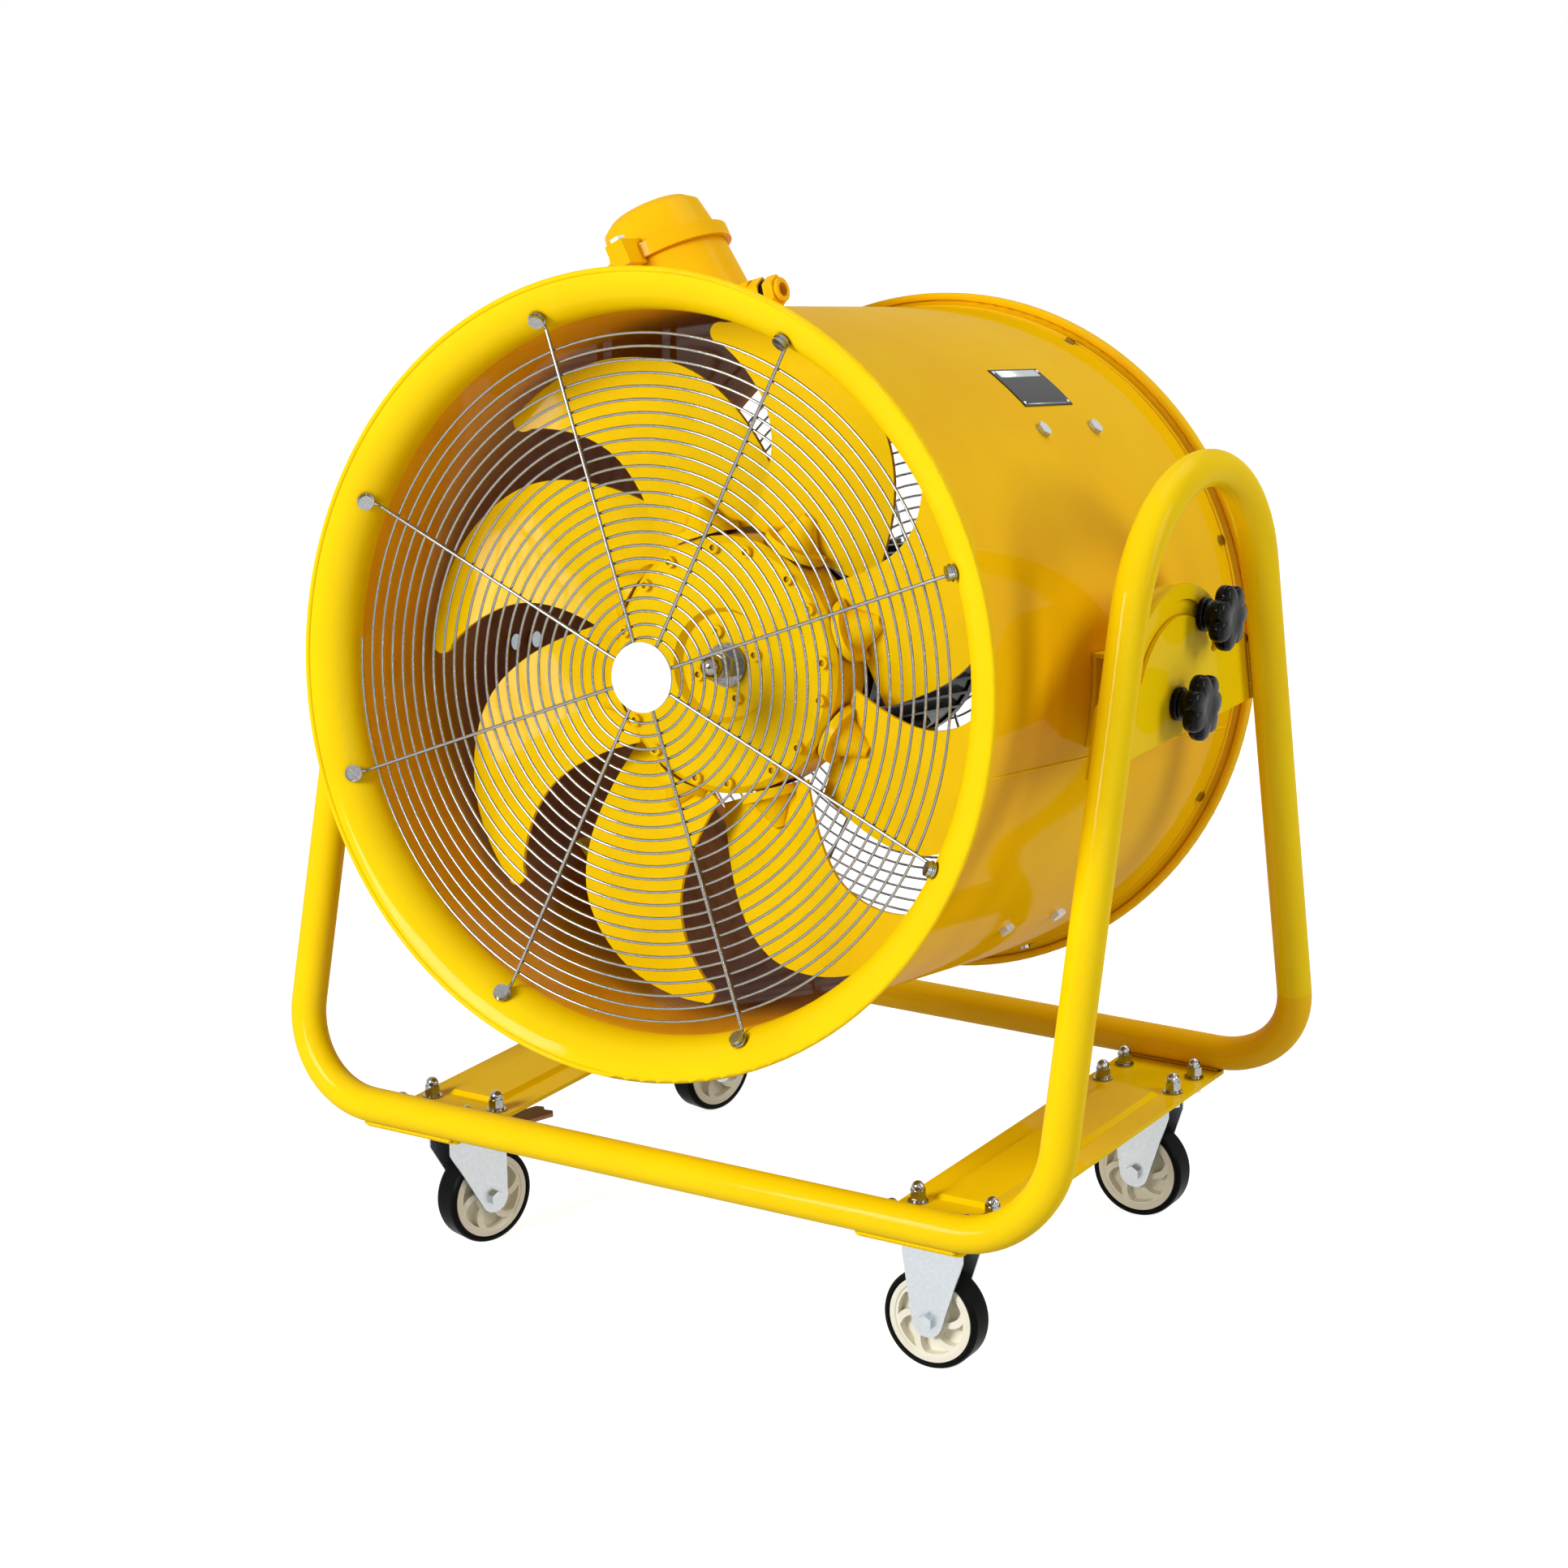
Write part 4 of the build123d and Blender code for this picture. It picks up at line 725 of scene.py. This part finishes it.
def background(tree, level):
    node = tree.nodes.new("ShaderNodeBackground")
    node.inputs[0].default_value = grey(1.0)
    node.inputs[1].default_value = level
    return node.outputs[0]


def add_world():
    """Faint white light all round, with a white background behind it."""
    world = bpy.data.worlds.new("studio")
    world.use_nodes = True
    tree = world.node_tree
    tree.nodes.clear()
    out = tree.nodes.new("ShaderNodeOutputWorld")
    mix = tree.nodes.new("ShaderNodeMixShader")
    tree.links.new(seen_directly(tree), mix.inputs[0])
    tree.links.new(background(tree, WORLD_LEVEL), mix.inputs[1])
    tree.links.new(background(tree, 1.0), mix.inputs[2])
    tree.links.new(mix.outputs[0], out.inputs[0])
    bpy.context.scene.world = world


def add_floor():
    """Pale paper floor that glows a little more where it nears the background."""
    mesh = bpy.data.meshes.new("floor")
    corners = [(-1, -1), (1, -1), (1, 1), (-1, 1)]
    points = [(x * FLOOR_HALF, y * FLOOR_HALF, 0) for x, y in corners]
    mesh.from_pydata(points, [], [(0, 1, 2, 3)])
    floor = bpy.data.objects.new("floor", mesh)
    bpy.context.scene.collection.objects.link(floor)
    material, tree, shader, place = new_material("floor_paper")
    tone = noise(tree, place, 3.0, 2.0)
    colour = ramp(tree, tone, [(0.3, grey(FLOOR_TONE)), (0.7, grey(FLOOR_TONE + 0.02))])
    tree.links.new(colour, shader.inputs["Base Color"])
    shader.inputs["Roughness"].default_value = 0.9
    shader.inputs["Specular IOR Level"].default_value = 0.1
    shader.inputs["Emission Color"].default_value = grey(1.0)
    distance = tree.nodes.new("ShaderNodeVectorMath")
    distance.operation = "LENGTH"
    tree.links.new(place, distance.inputs[0])
    level = remap(
        tree, distance.outputs["Value"], FLOOR_GLOW, FAR_FLOOR_GLOW, GLOW_RISES_FROM, GLOW_RISES_TO
    )
    glow = combine(tree, "MULTIPLY", seen_directly(tree), level)
    tree.links.new(glow, shader.inputs["Emission Strength"])
    mesh.materials.append(material)


def studio():
    bpy.context.scene.view_settings.view_transform = "Standard"
    add_camera()
    add_world()
    add_floor()
    for entry in LAMPS:
        lamp(*entry)


dress_nodes()
add_seam()
add_frame_welds()
add_plate_details()
add_knobs()
studio()
